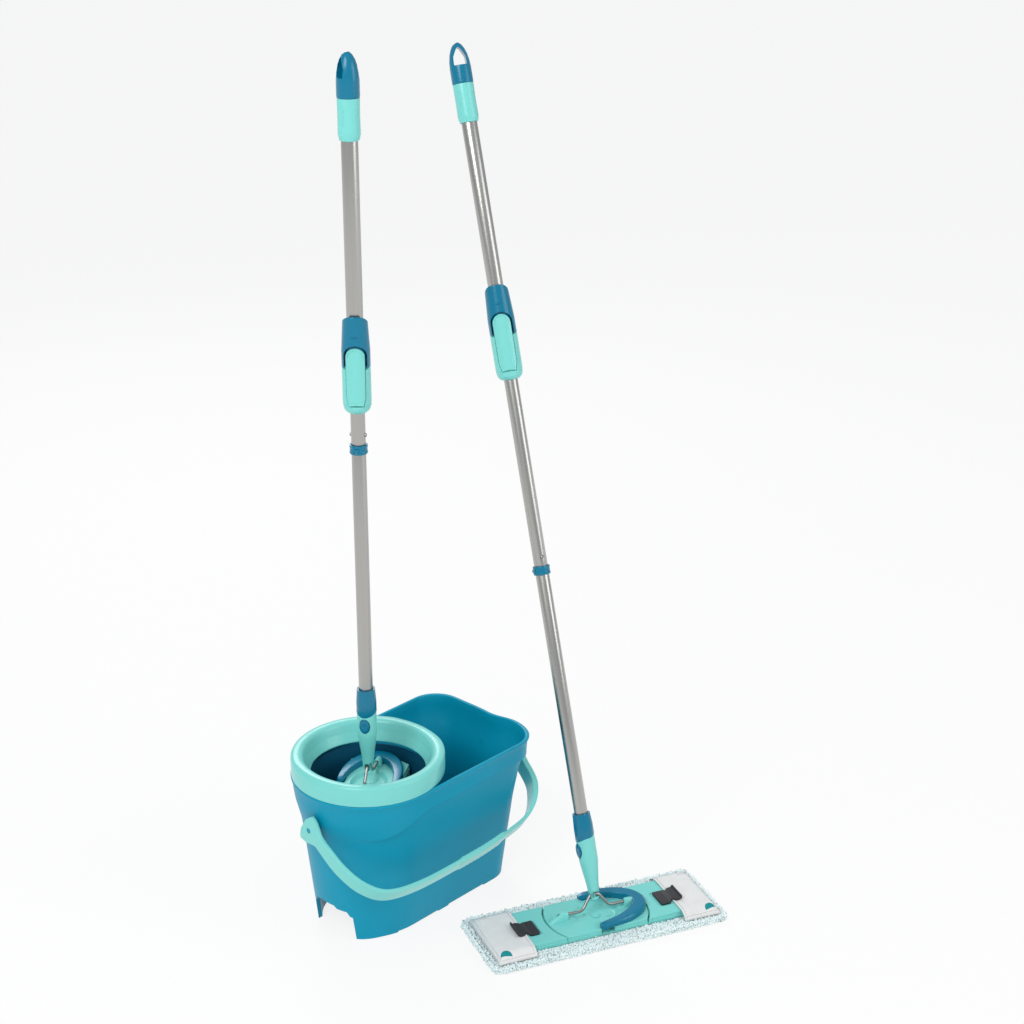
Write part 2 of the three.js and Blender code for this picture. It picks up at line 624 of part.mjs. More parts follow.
// The nut grips the twisted strip, so its slot is cut with the strip where this mop holds it.
function driveNut(mop) {
  const low = MIDDLE_TOP - NUT_HEIGHT;
  const body = rod("z", TUBE_RADIUS - TUBE_WALL - GAP, low, MIDDLE_TOP, [0, 0, 0], 24);
  const slot = twisted(ROD_WIDTH + 2 * NUT_PLAY, ROD_THICK + 2 * NUT_PLAY, ROD_BOTTOM, ROD_TOP - 6)
    .rotate([0, 0, mop.handleYaw]).translate([0, 0, mop.clampZ]);
  return body.subtract(slot);
}

// ---- Handle, in its own frame: the clamp's lower end at z = 0 ----
const UPPER_LOW = BUSH_HEIGHT + 6;

function upperTube() {
  return tube(UPPER_RADIUS, TUBE_WALL, UPPER_LOW, ROD_TOP);
}

function guideBush() {
  return tube(CLAMP_BORE - GAP, CLAMP_BORE - GAP - TUBE_RADIUS - GAP, 4 + GAP, 4 + BUSH_HEIGHT);
}

// The oval tongue seen from the front, pushed through the clamp's front wall.
function tongue(grow, from, to) {
  const s = new THREE.Shape();
  const half = LEVER_WIDTH / 2 + grow;
  s.moveTo(-half + 3, LEVER_BOTTOM - grow);
  s.lineTo(half - 3, LEVER_BOTTOM - grow);
  s.lineTo(half, LEVER_TOP - half + grow);
  s.absarc(0, LEVER_TOP - half + grow, half, 0, Math.PI);
  return solid(slab(s, from, to, 6).rotateX(Math.PI / 2));
}

function slantCut(height, rise, keepBelow) {
  const g = new THREE.BoxGeometry(200, 200, 200).translate(0, 0, keepBelow ? 100 : -100);
  return solid(g.rotateX(rise)).translate([0, 0, height]);
}

// The recess that the tongue lies in, cut into both shells.
function leverRecess() {
  const inner = CLAMP_RADIUS - LEVER_THICK - 0.6 + LEVER_PROUD - GAP;
  const ring = turned([[inner, LEVER_BOTTOM - 9], [60, LEVER_BOTTOM - 9], [60, LEVER_TOP + 9],
    [inner, LEVER_TOP + 9]], 28);
  const sweep = tongue(0.6, 5, 60);
  return ring.intersect(sweep.add(sweep.translate([0, 0, -2.5])));
}

const SPLIT_SLANT = rad(-38);

function clampLowerShell() {
  const r = CLAMP_RADIUS;
  const shell = turned([
    [TUBE_RADIUS + GAP + 0.3, 0], [14.5, 1.2], [18.5, 6], [r - 0.6, 13], [r, 22], [r, CLAMP_SPLIT + 30],
    [CLAMP_BORE, CLAMP_SPLIT + 30], [CLAMP_BORE, 4], [TUBE_RADIUS + GAP + 0.3, 4],
  ], 24);
  return shell.subtract(slantCut(CLAMP_SPLIT - GAP / 2, SPLIT_SLANT, true)).subtract(leverRecess());
}

function clampUpperShell() {
  const r = CLAMP_RADIUS;
  const bore = UPPER_RADIUS + GAP;
  const shell = turned([
    [r, 40], [r, 92], [CLAMP_TOP_RADIUS, CLAMP_HEIGHT], [bore, CLAMP_HEIGHT], [bore, 40],
  ], 24);
  return shell.subtract(slantCut(CLAMP_SPLIT + GAP / 2, SPLIT_SLANT, false))
    .subtract(slantCut(CLAMP_HEIGHT - 12, rad(35), true))
    .subtract(leverRecess());
}

function clampLever() {
  const r = CLAMP_RADIUS + LEVER_PROUD;
  const inner = r - LEVER_THICK - 0.6;
  const ring = turned([[inner, LEVER_BOTTOM - 2], [r, LEVER_BOTTOM - 2], [r, LEVER_TOP + 2],
    [inner, LEVER_TOP + 2]], 28);
  return ring.intersect(tongue(0, 8, r + 5)).subtract(slantCut(LEVER_BOTTOM + 1, rad(30), false));
}

function gripSleeve() {
  const bore = UPPER_RADIUS + GAP;
  const low = GRIP_Z;
  const high = GRIP_Z + GRIP_HEIGHT - GAP;
  return turned([[GRIP_RADIUS - 1.5, low], [GRIP_RADIUS, low + 6], [GRIP_RADIUS, high], [bore, high],
    [bore, low]], 20);
}

function hangCap(turn) {
  const low = GRIP_Z + GRIP_HEIGHT;
  const high = low + CAP_HEIGHT;
  const r = GRIP_RADIUS + 0.3;
  const body = turned([[0, low], [r, low], [r, low + 24], [r - 1.5, low + 40], [r - 5.5, low + 54],
    [r - 11, low + 62], [0, high]], 20);
  const s = new THREE.Shape();
  const half = EYE_WIDTH / 2;
  const sill = high - 8 - EYE_HEIGHT;
  s.absarc(0, sill + half, half, Math.PI, 2 * Math.PI);
  s.quadraticCurveTo(half, sill + half + 10, 0, sill + EYE_HEIGHT);
  s.quadraticCurveTo(-half, sill + half + 10, -half, sill + half);
  const eye = solid(slab(s, -30, 30, 6).rotateX(Math.PI / 2));
  const flats = block([-30, EYE_THICK / 2, sill - 8], [30, 30, high + 1])
    .add(block([-30, -30, sill - 8], [30, -EYE_THICK / 2, high + 1]));
  return body.subtract(eye).subtract(flats).rotate([0, 0, turn]);
}

// ---- Assembly ----
function named(name) {
  const g = new THREE.Group();
  g.name = name;
  return g;
}

function handleGroup(mop) {
  const n = (s) => mop.prefix + s;
  const g = named(n("handle_frame"));
  g.position.z = mop.clampZ;
  g.rotation.z = rad(mop.handleYaw);
  g.add(node(n("guide_bush"), guideBush(), boneNylon));
  g.add(node(n("clamp_lower_shell"), clampLowerShell(), paleTeal));
  g.add(node(n("clamp_upper_shell"), clampUpperShell(), deepTeal));
  g.add(node(n("clamp_lever"), clampLever(), paleTeal));
  g.add(node(n("upper_tube"), upperTube(), steel));
  g.add(node(n("twist_rod"), twistRod(), wireGrey));
  g.add(node(n("grip_sleeve"), gripSleeve(), paleTeal));
  g.add(node(n("hang_cap"), hangCap(mop.capYaw), deepTeal));
  return g;
}

function poleGroup(mop) {
  const n = (s) => mop.prefix + s;
  const g = named(n("pole_frame"));
  g.position.z = EYE_RISE;
  g.rotation.y = rad(mop.socketTilt);
  g.add(node(n("socket_body"), socketBody(), paleTeal));
  g.add(node(n("socket_sleeve"), socketSleeve(), deepTeal));
  g.add(node(n("socket_button"), socketButton(), deepTeal));
  g.add(node(n("foot_tube"), footTube(), steel));
  g.add(node(n("stop_ring"), stopRing(), deepTeal));
  g.add(node(n("middle_tube"), middleTube(), steel));
  g.add(node(n("snap_button_left"), snapButton(1), wireGrey));
  g.add(node(n("snap_button_right"), snapButton(-1), wireGrey));
  g.add(node(n("drive_nut"), driveNut(mop), boneNylon));
  g.add(handleGroup(mop));
  return g;
}

function wingGroup(mop, side) {
  const hand = side > 0 ? "right" : "left";
  const hinge = named(mop.prefix + "wing_" + hand + "_frame");
  hinge.position.set(side * HINGE_X, 0, HINGE_Z);
  hinge.rotation.y = rad(side * mop.fold);
  const shift = [-side * HINGE_X, 0, -HINGE_Z];
  hinge.add(node(mop.prefix + "wing_" + hand, wing(side).translate(shift), paleTeal));
  hinge.add(node(mop.prefix + "latch_" + hand, latch(side).translate(shift), latchBlack));
  if (mop === FLOOR_MOP) {
    hinge.add(node("pad_" + hand, padEnd(side).translate(shift), fringeAqua));
  }
  return hinge;
}

function mopGroup(mop) {
  const n = (s) => mop.prefix + s;
  const g = named(n("head_frame"));
  g.position.set(mop.x, mop.y, mop.z);
  g.rotation.z = rad(mop.yaw);
  g.add(node(n("head_plate"), headPlate(), paleTeal));
  g.add(node(n("wing_pin_left"), wingPin(-1), wireGrey));
  g.add(node(n("wing_pin_right"), wingPin(1), wireGrey));
  g.add(node(n("lift_loop"), liftLoop(), deepTeal));
  g.add(wingGroup(mop, -1));
  g.add(wingGroup(mop, 1));
  if (mop === FLOOR_MOP) g.add(node("pad_centre", padCentre(), fringeAqua));
  const yoke = named(n("yoke_frame"));
  yoke.position.z = YOKE_Z;
  yoke.rotation.x = rad(mop.yokeTilt);
  yoke.add(node(n("yoke_wire"), yokeWire(), wireGrey));
  yoke.add(poleGroup(mop));
  g.add(yoke);
  return g;
}

const root = new THREE.Group();
root.add(node("tank", tank(), tankBlue));
root.add(node("collar", collar(), paleTeal));
root.add(node("basket", basket(), basketBlue));
root.add(node("spindle", spindle(), steel));
root.add(node("bail", bail(), paleTeal));
root.add(mopGroup(BASKET_MOP));
root.add(mopGroup(FLOOR_MOP));

root.updateMatrixWorld(true);
const extent = new THREE.Box3().setFromObject(root, true);
root.position.set(-(extent.min.x + extent.max.x) / 2, -(extent.min.y + extent.max.y) / 2, -extent.min.z);

export default root;
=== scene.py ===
import json
import math
import random

import bmesh
import bpy
from mathutils import Matrix, Vector, noise


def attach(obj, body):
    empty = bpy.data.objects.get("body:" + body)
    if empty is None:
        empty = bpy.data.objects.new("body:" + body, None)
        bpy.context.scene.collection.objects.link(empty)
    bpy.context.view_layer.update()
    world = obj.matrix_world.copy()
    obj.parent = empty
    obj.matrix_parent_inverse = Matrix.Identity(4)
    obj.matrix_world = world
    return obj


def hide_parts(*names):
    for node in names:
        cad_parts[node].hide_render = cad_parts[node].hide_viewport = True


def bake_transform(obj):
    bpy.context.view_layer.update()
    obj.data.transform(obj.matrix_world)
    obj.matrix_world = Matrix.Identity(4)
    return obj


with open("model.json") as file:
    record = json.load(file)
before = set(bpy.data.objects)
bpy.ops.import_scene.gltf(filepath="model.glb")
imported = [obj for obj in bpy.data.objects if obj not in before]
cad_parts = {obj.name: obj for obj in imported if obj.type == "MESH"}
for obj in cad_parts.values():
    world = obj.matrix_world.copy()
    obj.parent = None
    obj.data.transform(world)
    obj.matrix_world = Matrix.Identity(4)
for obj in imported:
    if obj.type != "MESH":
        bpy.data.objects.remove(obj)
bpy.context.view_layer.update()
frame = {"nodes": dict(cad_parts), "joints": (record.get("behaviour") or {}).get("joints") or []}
joints = {joint["name"]: joint for joint in frame["joints"]}
nodes = frame["nodes"]

# ---- Studio ----
# A pale seamless floor, one large soft lamp from the front left and a weaker one from the right.
# The lamps stay low enough for every colour to show as it is written.
scene = bpy.context.scene
scene.view_settings.view_transform = "Standard"


def linear(code, alpha=1.0):
    """An sRGB hex colour as linear red, green, blue and alpha."""
    parts = [int(code[i:i + 2], 16) / 255 for i in (1, 3, 5)]
    return [c / 12.92 if c <= 0.04045 else ((c + 0.055) / 1.055) ** 2.4 for c in parts] + [alpha]


def add(tree, kind, settings, links=None):
    """Adds a shader node, sets its sockets and properties by name, and links sockets into it."""
    node = tree.nodes.new("ShaderNode" + kind)
    for name, value in settings.items():
        if isinstance(name, str) and hasattr(node, name):
            setattr(node, name, value)
        else:
            node.inputs[name].default_value = value
    for name, socket in (links or {}).items():
        tree.links.new(socket, node.inputs[name])
    return node


def empty_material(name):
    """A new material's node tree with nothing in it but the output."""
    material = bpy.data.materials.new(name)
    material.use_nodes = True
    material.node_tree.nodes.clear()
    return material, material.node_tree


SQUARE = [(-1, -1), (1, -1), (1, 1), (-1, 1)]
FLOOR_HALF = 14.0
FLOOR_LEVEL = -0.0004
CAMERA_WHITE = 0.84


def studio_surface(name, colour):
    """A matt surface that the camera and mirrors see as white, and that keeps the shadow."""
    material, tree = empty_material(name)
    lit = add(tree, "BsdfDiffuse", {"Color": linear(colour)})
    white = add(tree, "Emission", {"Color": linear("#FFFFFF"), "Strength": 1.0})
    rays = add(tree, "LightPath", {})
    seen = add(tree, "Math", {"operation": "MAXIMUM"},
               {0: rays.outputs["Is Glossy Ray"], 1: rays.outputs["Is Transmission Ray"]})
    shown = add(tree, "Math", {"operation": "MULTIPLY", 1: CAMERA_WHITE}, {0: rays.outputs["Is Camera Ray"]})
    share = add(tree, "Math", {"operation": "MAXIMUM"}, {0: seen.outputs[0], 1: shown.outputs[0]})
    mix = add(tree, "MixShader", {}, {0: share.outputs[0], 1: lit.outputs[0], 2: white.outputs[0]})
    add(tree, "OutputMaterial", {}, {"Surface": mix.outputs[0]})
    return material


floor_mesh = bpy.data.meshes.new("floor")
corners = [(FLOOR_HALF * x, FLOOR_HALF * y, FLOOR_LEVEL) for x, y in SQUARE]
floor_mesh.from_pydata(corners, [], [(0, 1, 2, 3)])
floor = bpy.data.objects.new("floor", floor_mesh)
floor.data.materials.append(studio_surface("painted studio floor", "#F4F4F2"))
scene.collection.objects.link(floor)

world = bpy.data.worlds.new("studio")
scene.world = world
world.use_nodes = True
world.node_tree.nodes.clear()
rays = add(world.node_tree, "LightPath", {})
sides = add(world.node_tree, "Background", {"Color": linear("#E9EEF0"), "Strength": 0.62})
white = add(world.node_tree, "Background", {"Color": linear("#FFFFFF"), "Strength": 1.0})
mix = add(world.node_tree, "MixShader", {},
          {0: rays.outputs["Is Camera Ray"], 1: sides.outputs[0], 2: white.outputs[0]})
add(world.node_tree, "OutputWorld", {}, {"Surface": mix.outputs[0]})


def lamp(name, place, aim, size, watts):
    """A square soft lamp that points from its place to a point on the object."""
    light = bpy.data.lights.new(name, "AREA")
    light.size = size
    light.energy = watts
    holder = bpy.data.objects.new(name, light)
    holder.location = place
    holder.rotation_euler = (Vector(aim) - Vector(place)).to_track_quat("-Z", "Y").to_euler()
    scene.collection.objects.link(holder)


lamp("key", (-2.6, -0.6, 3.0), (0, 0, 0.5), 1.6, 62)
lamp("fill", (1.2, -3.0, 1.9), (0, 0, 0.6), 1.8, 26)
lamp("rim", (1.4, 2.6, 2.4), (0, 0, 0.7), 1.2, 30)

EYE = Vector((-2.0731, -1.9188, 1.8249))
LOOK = Vector((0.736, 0.677, 0)).normalized()
DIP = 0.378
SENSOR_MM = 36
LENS_MM = 70.4
camera = bpy.data.objects.new("camera", bpy.data.cameras.new("camera"))
camera.data.sensor_width = SENSOR_MM
camera.data.lens = LENS_MM
camera.location = EYE
aim = LOOK * math.cos(DIP) - Vector((0, 0, math.sin(DIP)))
camera.rotation_euler = aim.to_track_quat("-Z", "Y").to_euler()
scene.collection.objects.link(camera)
scene.camera = camera

# ---- Tank ----
# The bucket is injection-moulded polypropylene, one wall all round, with a rolled rim, a raised
# band below it, and a hollow skirt that it stands on. The basket's axis is its own origin.
MM = 0.001
QUARTER = {axis: Matrix.Rotation(math.pi / 2, 4, axis) for axis in "XYZ"}
HALF_TURN = Matrix.Rotation(math.pi, 4, "Z")
spin = Vector(joints["basket_spin"]["pos_m"])
BUCKET = Matrix.Translation((spin.x, spin.y, 0))
RIM_Z = 262
RIM_RADIUS = 122
RIM_REACH = 275
RIM_CORNER = 48
TANK_WALL = 3
TANK_FLOOR = 66
BAND_PROUD = 3
WAIST_Z = 190
BAND_Z = 228
SKIRT_INSIDE = -TANK_WALL - BAND_PROUD
PLAN_LENGTH = RIM_REACH + RIM_RADIUS
PLAN_MIDDLE = (RIM_REACH - RIM_RADIUS) / 2
TANK_LENGTHS = [(0, 338), (WAIST_Z, 374), (BAND_Z, 392), (RIM_Z, PLAN_LENGTH)]
TANK_WIDTHS = [(0, 173), (WAIST_Z, 217), (BAND_Z, 237), (RIM_Z, 2 * RIM_RADIUS)]


def ramp(low, high, value):
    """0 below low, 1 above high, and a smooth rise between them."""
    share = min(1.0, max(0.0, (value - low) / (high - low)))
    return share * share * (3 - 2 * share)


def eased(table, z):
    """The value at a height, from a table of heights and values, with its corners eased."""
    def straight(at):
        at = min(max(at, table[0][0]), table[-1][0])
        low, high = next((a, b) for a, b in zip(table, table[1:]) if at <= b[0])
        return low[1] + (high[1] - low[1]) * (at - low[0]) / (high[0] - low[0])
    return (straight(z - 9) + 2 * straight(z) + straight(z + 9)) / 4 if z < RIM_Z - 12 else straight(z)


def arc(cx, cy, radius, start, end, steps):
    """Points on a circle between two angles in degrees, both ends included."""
    turns = [math.radians(start + (end - start) * i / steps) for i in range(steps + 1)]
    return [(cx + radius * math.cos(a), cy + radius * math.sin(a)) for a in turns]


def stretch(start, end, steps):
    """Points strictly between two points."""
    return [tuple(a + (b - a) * i / steps for a, b in zip(start, end)) for i in range(1, steps)]


def oval(wide, high, count, z=0):
    """Points round an ellipse at a height."""
    turns = [2 * math.pi * i / count for i in range(count)]
    return [(wide * math.cos(a), high * math.sin(a), z) for a in turns]


def rim_plan():
    """The rim's outline, anticlockwise from the far left."""
    corner = RIM_RADIUS - RIM_CORNER
    turn = RIM_REACH - RIM_CORNER
    left = arc(0, 0, RIM_RADIUS, 90, 270, 72)
    near = arc(turn, -corner, RIM_CORNER, -90, 0, 18)
    far = arc(turn, corner, RIM_CORNER, 0, 90, 18)
    return (left + stretch(left[-1], near[0], 30) + near + stretch(near[-1], far[0], 24)
            + far + stretch(far[-1], left[0], 30))


def spout(x, y, z):
    """How far the rim stands out in the pouring lip at the end, and in beside it."""
    lip = 5.5 * math.exp(-((y + 58) / 24) ** 2) - 2.2 * math.exp(-((y + 14) / 20) ** 2)
    return lip * ramp(RIM_REACH - 30, RIM_REACH - 6, x) * ramp(205, RIM_Z, z)


def tank_point(x, y, z, grow):
    """A point of the rim's outline, brought in to where the wall is at this height."""
    length = eased(TANK_LENGTHS, z) + 2 * grow
    width = eased(TANK_WIDTHS, z) + 2 * grow
    return Vector((PLAN_MIDDLE + (x - PLAN_MIDDLE) * length / PLAN_LENGTH + spout(x, y, z),
                   y * width / (2 * RIM_RADIUS), z))


def band_edge(x):
    """The height of the raised band's lower edge, which drops to the bulge at the round end."""
    return 194 + 33 * ramp(-75, 25, x)


def lofted(name, rings, cap=True):
    """A mesh through rings of points in millimetres, with a flat cap on each end."""
    mesh = bmesh.new()
    made = [[mesh.verts.new(Vector(p) * MM) for p in ring] for ring in rings]
    count = len(rings[0])
    for low, high in zip(made, made[1:]):
        for i in range(count):
            j = (i + 1) % count
            mesh.faces.new((low[i], low[j], high[j], high[i]))
    if cap:
        mesh.faces.new(reversed(made[0]))
        mesh.faces.new(made[-1])
    bmesh.ops.recalc_face_normals(mesh, faces=mesh.faces)
    return mesh_object(name, mesh)


def mesh_object(name, mesh):
    """An object from a bmesh, smooth, linked to the scene."""
    data = bpy.data.meshes.new(name)
    mesh.to_mesh(data)
    mesh.free()
    data.shade_smooth()
    made = bpy.data.objects.new(name, data)
    scene.collection.objects.link(made)
    return made


def settle(piece, crease=None):
    """Applies a piece's modifiers, and keeps edges sharper than crease degrees as edges."""
    bpy.context.view_layer.update()
    held = piece.evaluated_get(bpy.context.evaluated_depsgraph_get())
    data = bpy.data.meshes.new_from_object(held)
    piece.modifiers.clear()
    piece.data = data
    piece.data.shade_smooth()
    if crease:
        piece.data.set_sharp_from_angle(angle=math.radians(crease))
    return piece


def cut(piece, *tools, operation="DIFFERENCE", crease=32):
    """Cuts tools out of a piece, or joins them to it, and removes them."""
    for tool in tools:
        boolean = piece.modifiers.new("cut", "BOOLEAN")
        boolean.operation = operation
        boolean.object = tool
        boolean.solver = "EXACT"
        settle(piece, crease)
        bpy.data.objects.remove(tool)
    return piece


def soften(piece, width, crease=32, segments=2):
    """Rounds a piece's sharp edges, width in millimetres."""
    bevel = piece.modifiers.new("soften", "BEVEL")
    bevel.width = width * MM
    bevel.segments = segments
    bevel.limit_method = "ANGLE"
    bevel.angle_limit = math.radians(crease)
    settle(piece, crease)
    weighted = piece.modifiers.new("weighted", "WEIGHTED_NORMAL")
    weighted.keep_sharp = True
    return settle(piece)


def prism(name, outline, low, high, turn=None):
    """An outline in XY, pulled from one height to another, and turned if turn is given."""
    made = lofted(name, [[(x, y, z) for x, y in outline] for z in (low, high)])
    if turn:
        made.data.transform(turn)
    return made


def seat(piece, place, body, slot, material, *stands_for):
    """Puts a piece in its frame, on its body, with its material, in place of its CAD nodes."""
    piece.matrix_world = place
    piece.data.materials.clear()
    piece.data.materials.append(material)
    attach(piece, body)
    if stands_for:
        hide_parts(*stands_for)
    return piece


def surface(tree, settings, links):
    """Ends a material in one shader."""
    shader = add(tree, "BsdfPrincipled", settings, links)
    add(tree, "OutputMaterial", {}, {"Surface": shader.outputs[0]})


def mottled(tree, place, scale, detail, **settings):
    """Noise that is fixed to the piece."""
    return add(tree, "TexNoise", {"Scale": scale, "Detail": detail, **settings},
               {"Vector": place.outputs["Object"]})


def moulded(name, colour, roughness, grain, lift, mottle=0.03, coat=0.0, shine=0.25):
    """Moulded thermoplastic: one pigment, a fine spark-eroded texture, and slightly uneven gloss."""
    material, tree = empty_material(name)
    place = add(tree, "TexCoord", {})
    broad = mottled(tree, place, 9.0, 2.0)
    fine = mottled(tree, place, 1 / (grain * MM), 3.0, Roughness=0.6)
    value = add(tree, "MapRange", {"To Min": 1 - mottle, "To Max": 1 + mottle},
                {"Value": broad.outputs["Fac"]})
    tint = add(tree, "HueSaturation", {"Color": linear(colour)}, {"Value": value.outputs[0]})
    gloss = add(tree, "MapRange", {"To Min": roughness - 0.06, "To Max": roughness + 0.06},
                {"Value": fine.outputs["Fac"]})
    bump = add(tree, "Bump", {"Strength": 0.5, "Distance": lift * MM}, {"Height": fine.outputs["Fac"]})
    surface(tree, {"IOR": 1.49, "Specular IOR Level": shine, "Coat Weight": coat, "Coat Roughness": 0.2},
            {"Base Color": tint.outputs[0], "Roughness": gloss.outputs[0], "Normal": bump.outputs[0]})
    return material


# Polypropylene from a finely textured mould: satin, even, a little brighter where light rakes it
tank_plastic = moulded("moulded polypropylene, sea blue", "#009ABA", 0.42, 0.7, 0.05)


def tank_rows():
    """The wall from under its floor, down the skirt's inside, up the outside and down the inside."""
    outside = [(lambda x, z=z: z) for z in (0.4, 3, 20, 45, 80, 115, 150)]
    outside += [(lambda x, s=s: band_edge(x) + s) for s in (-22, -10, -4, -1.6, -0.6, 0.8, 3, 8)]
    outside += [(lambda x, s=s: band_edge(x) + (RIM_Z - 9 - band_edge(x)) * s) for s in (0.5, 0.8, 1)]
    rows = [(lambda x, z=z: z, SKIRT_INSIDE, 0) for z in (TANK_FLOOR, 40, 1)]
    rows += [(lambda x: 0, SKIRT_INSIDE + 0.5, 0), (lambda x: 0, -0.5, 1)]
    rows += [(row, 0, 1) for row in outside]
    rim = [(-6.5, 1.2), (-4, 1.9), (-1.6, 1.9), (-0.4, 1.2), (0, 0), (0, -1.8), (-0.8, -3.2), (-3.2, -3.8)]
    rows += [(lambda x, s=s: RIM_Z + s, grow, 0) for s, grow in rim]
    rows += [(lambda x, z=z: z, -TANK_WALL - 0.4 - BAND_PROUD * ramp(240, 190, z), 0) for z in
             (248, 238, 228, 215, 200, 180, 140, 100, 84, 76)]
    rows += [(lambda x: 71.5, SKIRT_INSIDE - 3, 0), (lambda x: 69.2, SKIRT_INSIDE - 9, 0)]
    return rows


def tank_ring(height, grow, banded):
    """One ring of the wall, with the band's step and lip where they belong."""
    ring = []
    for x, y in rim_plan():
        z = height(x)
        above = z - band_edge(x)
        beyond = ramp(-100, -60, x)
        step = BAND_PROUD * (ramp(-1.4, 0.6, above) - 1) * beyond * banded
        lip = 1.1 * ramp(-0.6, 0.8, above) * (1 - ramp(1, 12, above)) * beyond
        ring.append(tank_point(x, y, z, grow + step + (0.4 + lip) * banded))
    return ring


tank = lofted("tank_shell", [tank_ring(*row) for row in tank_rows()])

# The skirt's open end, with its stepped shoulders, and the shallow reliefs between its feet
ARCH_PLAN = [(-45, -2), (45, -2), (44, 38), (38, 46), (33, 46), (30, 55), (12, 60), (-14, 59), (-20, 54),
             (-36, 52), (-40, 44), (-44, 42)]
end_of_skirt = PLAN_MIDDLE - TANK_LENGTHS[0][1] / 2
to_end = Matrix.Translation(Vector((end_of_skirt, 0, 0)) * MM) @ QUARTER["Z"] @ QUARTER["X"]
arch = prism("arch", ARCH_PLAN, -30, 30, to_end)
reliefs = []
for start, end in ((-20, 70), (92, 178)):
    plan = [(start, -1), (end, -1), (end - 1.5, 2.6), (start + 1.5, 2.6)]
    reliefs.append(prism("relief", plan, -140, 140, QUARTER["X"]))
cut(tank, arch, *reliefs)

# The pivots of the bail are short pins moulded on the two ends
PIVOT_Z = 205
ends = [(-RIM_RADIUS + 10, -131.6), (RIM_REACH - 12, 287.6)]


def turned(name, profile, around=64, closed=False, place=None):
    """A profile of (radius, height) turned about Z. It starts and ends on the axis unless closed."""
    mesh = bmesh.new()
    rings = []
    for radius, height in profile:
        if radius < 1e-6:
            rings.append([mesh.verts.new((0, 0, height * MM))])
            continue
        angles = [2 * math.pi * i / around for i in range(around)]
        rings.append([mesh.verts.new((radius * MM * math.cos(a), radius * MM * math.sin(a), height * MM))
                      for a in angles])
    pairs = list(zip(rings, rings[1:])) + ([(rings[-1], rings[0])] if closed else [])
    for low, high in pairs:
        for i in range(around):
            j = (i + 1) % around
            corners = [low[i % len(low)], low[j % len(low)], high[j % len(high)], high[i % len(high)]]
            faces = [v for k, v in enumerate(corners) if v not in corners[:k]]
            if len(faces) > 2:
                mesh.faces.new(faces)
    bmesh.ops.recalc_face_normals(mesh, faces=mesh.faces)
    made = mesh_object(name, mesh)
    if place:
        made.data.transform(place)
    return made


for near, tip in ends:
    side = 1 if tip > 0 else -1
    reach = abs(tip - near)
    profile = [(0, 0), (7, 0), (5.4, reach * 0.55), (4, reach * 0.6), (4, reach - 1), (3.2, reach),
               (0, reach)]
    place = Matrix.Translation(Vector((near, 0, PIVOT_Z)) * MM) @ Matrix.Rotation(side * math.pi / 2, 4, "Y")
    cut(tank, turned("pivot", profile, 24, place=place), operation="UNION")
seat(tank, BUCKET, "bucket", "tank_plastic", tank_plastic, "tank")

# ---- Collar ----
# A splash guard of paler ABS, polished in the mould, that clips over the round end. Its funnel
# leads the folded head into the basket.
pale_plastic = moulded("polished ABS, pale turquoise", "#7ED8D2", 0.3, 0.9, 0.012, 0.02, 0.12, 0.4)
COLLAR_FOOT = RIM_Z + 0.3
COLLAR_TOP = 295.3


def filleted(points, radii, steps=4, closed=True):
    """A polyline with its corners rounded. radii is one radius for all, or one for each corner."""
    rounded = []
    count = len(points)
    for i, corner in enumerate(points):
        radius = radii if isinstance(radii, (int, float)) else radii[i]
        if radius == 0 or (not closed and i in (0, count - 1)):
            rounded.append(tuple(corner))
            continue
        middle = Vector(corner)
        before = Vector(points[i - 1]) - middle
        after = Vector(points[(i + 1) % count]) - middle
        half = before.angle(after) / 2
        reach = min(radius / max(math.tan(half), 1e-6), before.length * 0.48, after.length * 0.48)
        start = middle + before.normalized() * reach
        end = middle + after.normalized() * reach
        for k in range(steps + 1):
            t = k / steps
            rounded.append(tuple((1 - t) ** 2 * start + 2 * t * (1 - t) * middle + t * t * end))
    return rounded


collar_profile = filleted([
    (123, COLLAR_FOOT), (123, COLLAR_TOP), (105, COLLAR_TOP), (99, COLLAR_FOOT + 16), (92, COLLAR_FOOT + 2),
    (92, COLLAR_FOOT), (94.5, COLLAR_FOOT), (102, COLLAR_FOOT + 16), (107.5, COLLAR_TOP - 4),
    (120, COLLAR_TOP - 4), (120, COLLAR_FOOT),
], [0.6, 7, 9, 12, 1, 0.4, 0.6, 8, 4, 3, 0.6], 5)
collar = turned("collar_ring", collar_profile, 144, closed=True)
for vertex in collar.data.vertices:
    x, y, z = vertex.co / MM
    radius = math.hypot(x, y)
    high = ramp(COLLAR_TOP - 12, COLLAR_TOP, z)
    inner = ramp(118, 96, radius)
    flat = 2.5 * ramp(0.86, 1.0, abs(x) / max(radius, 1)) * ramp(98, 118, radius) * high
    vertex.co.x *= 1 - flat / max(radius, 1)
    vertex.co.z -= 1.6 * MM * ramp(-0.2, 0.9, -y / max(radius, 1)) * high * inner
seat(collar, BUCKET, "bucket", "pale_plastic", pale_plastic, "collar")

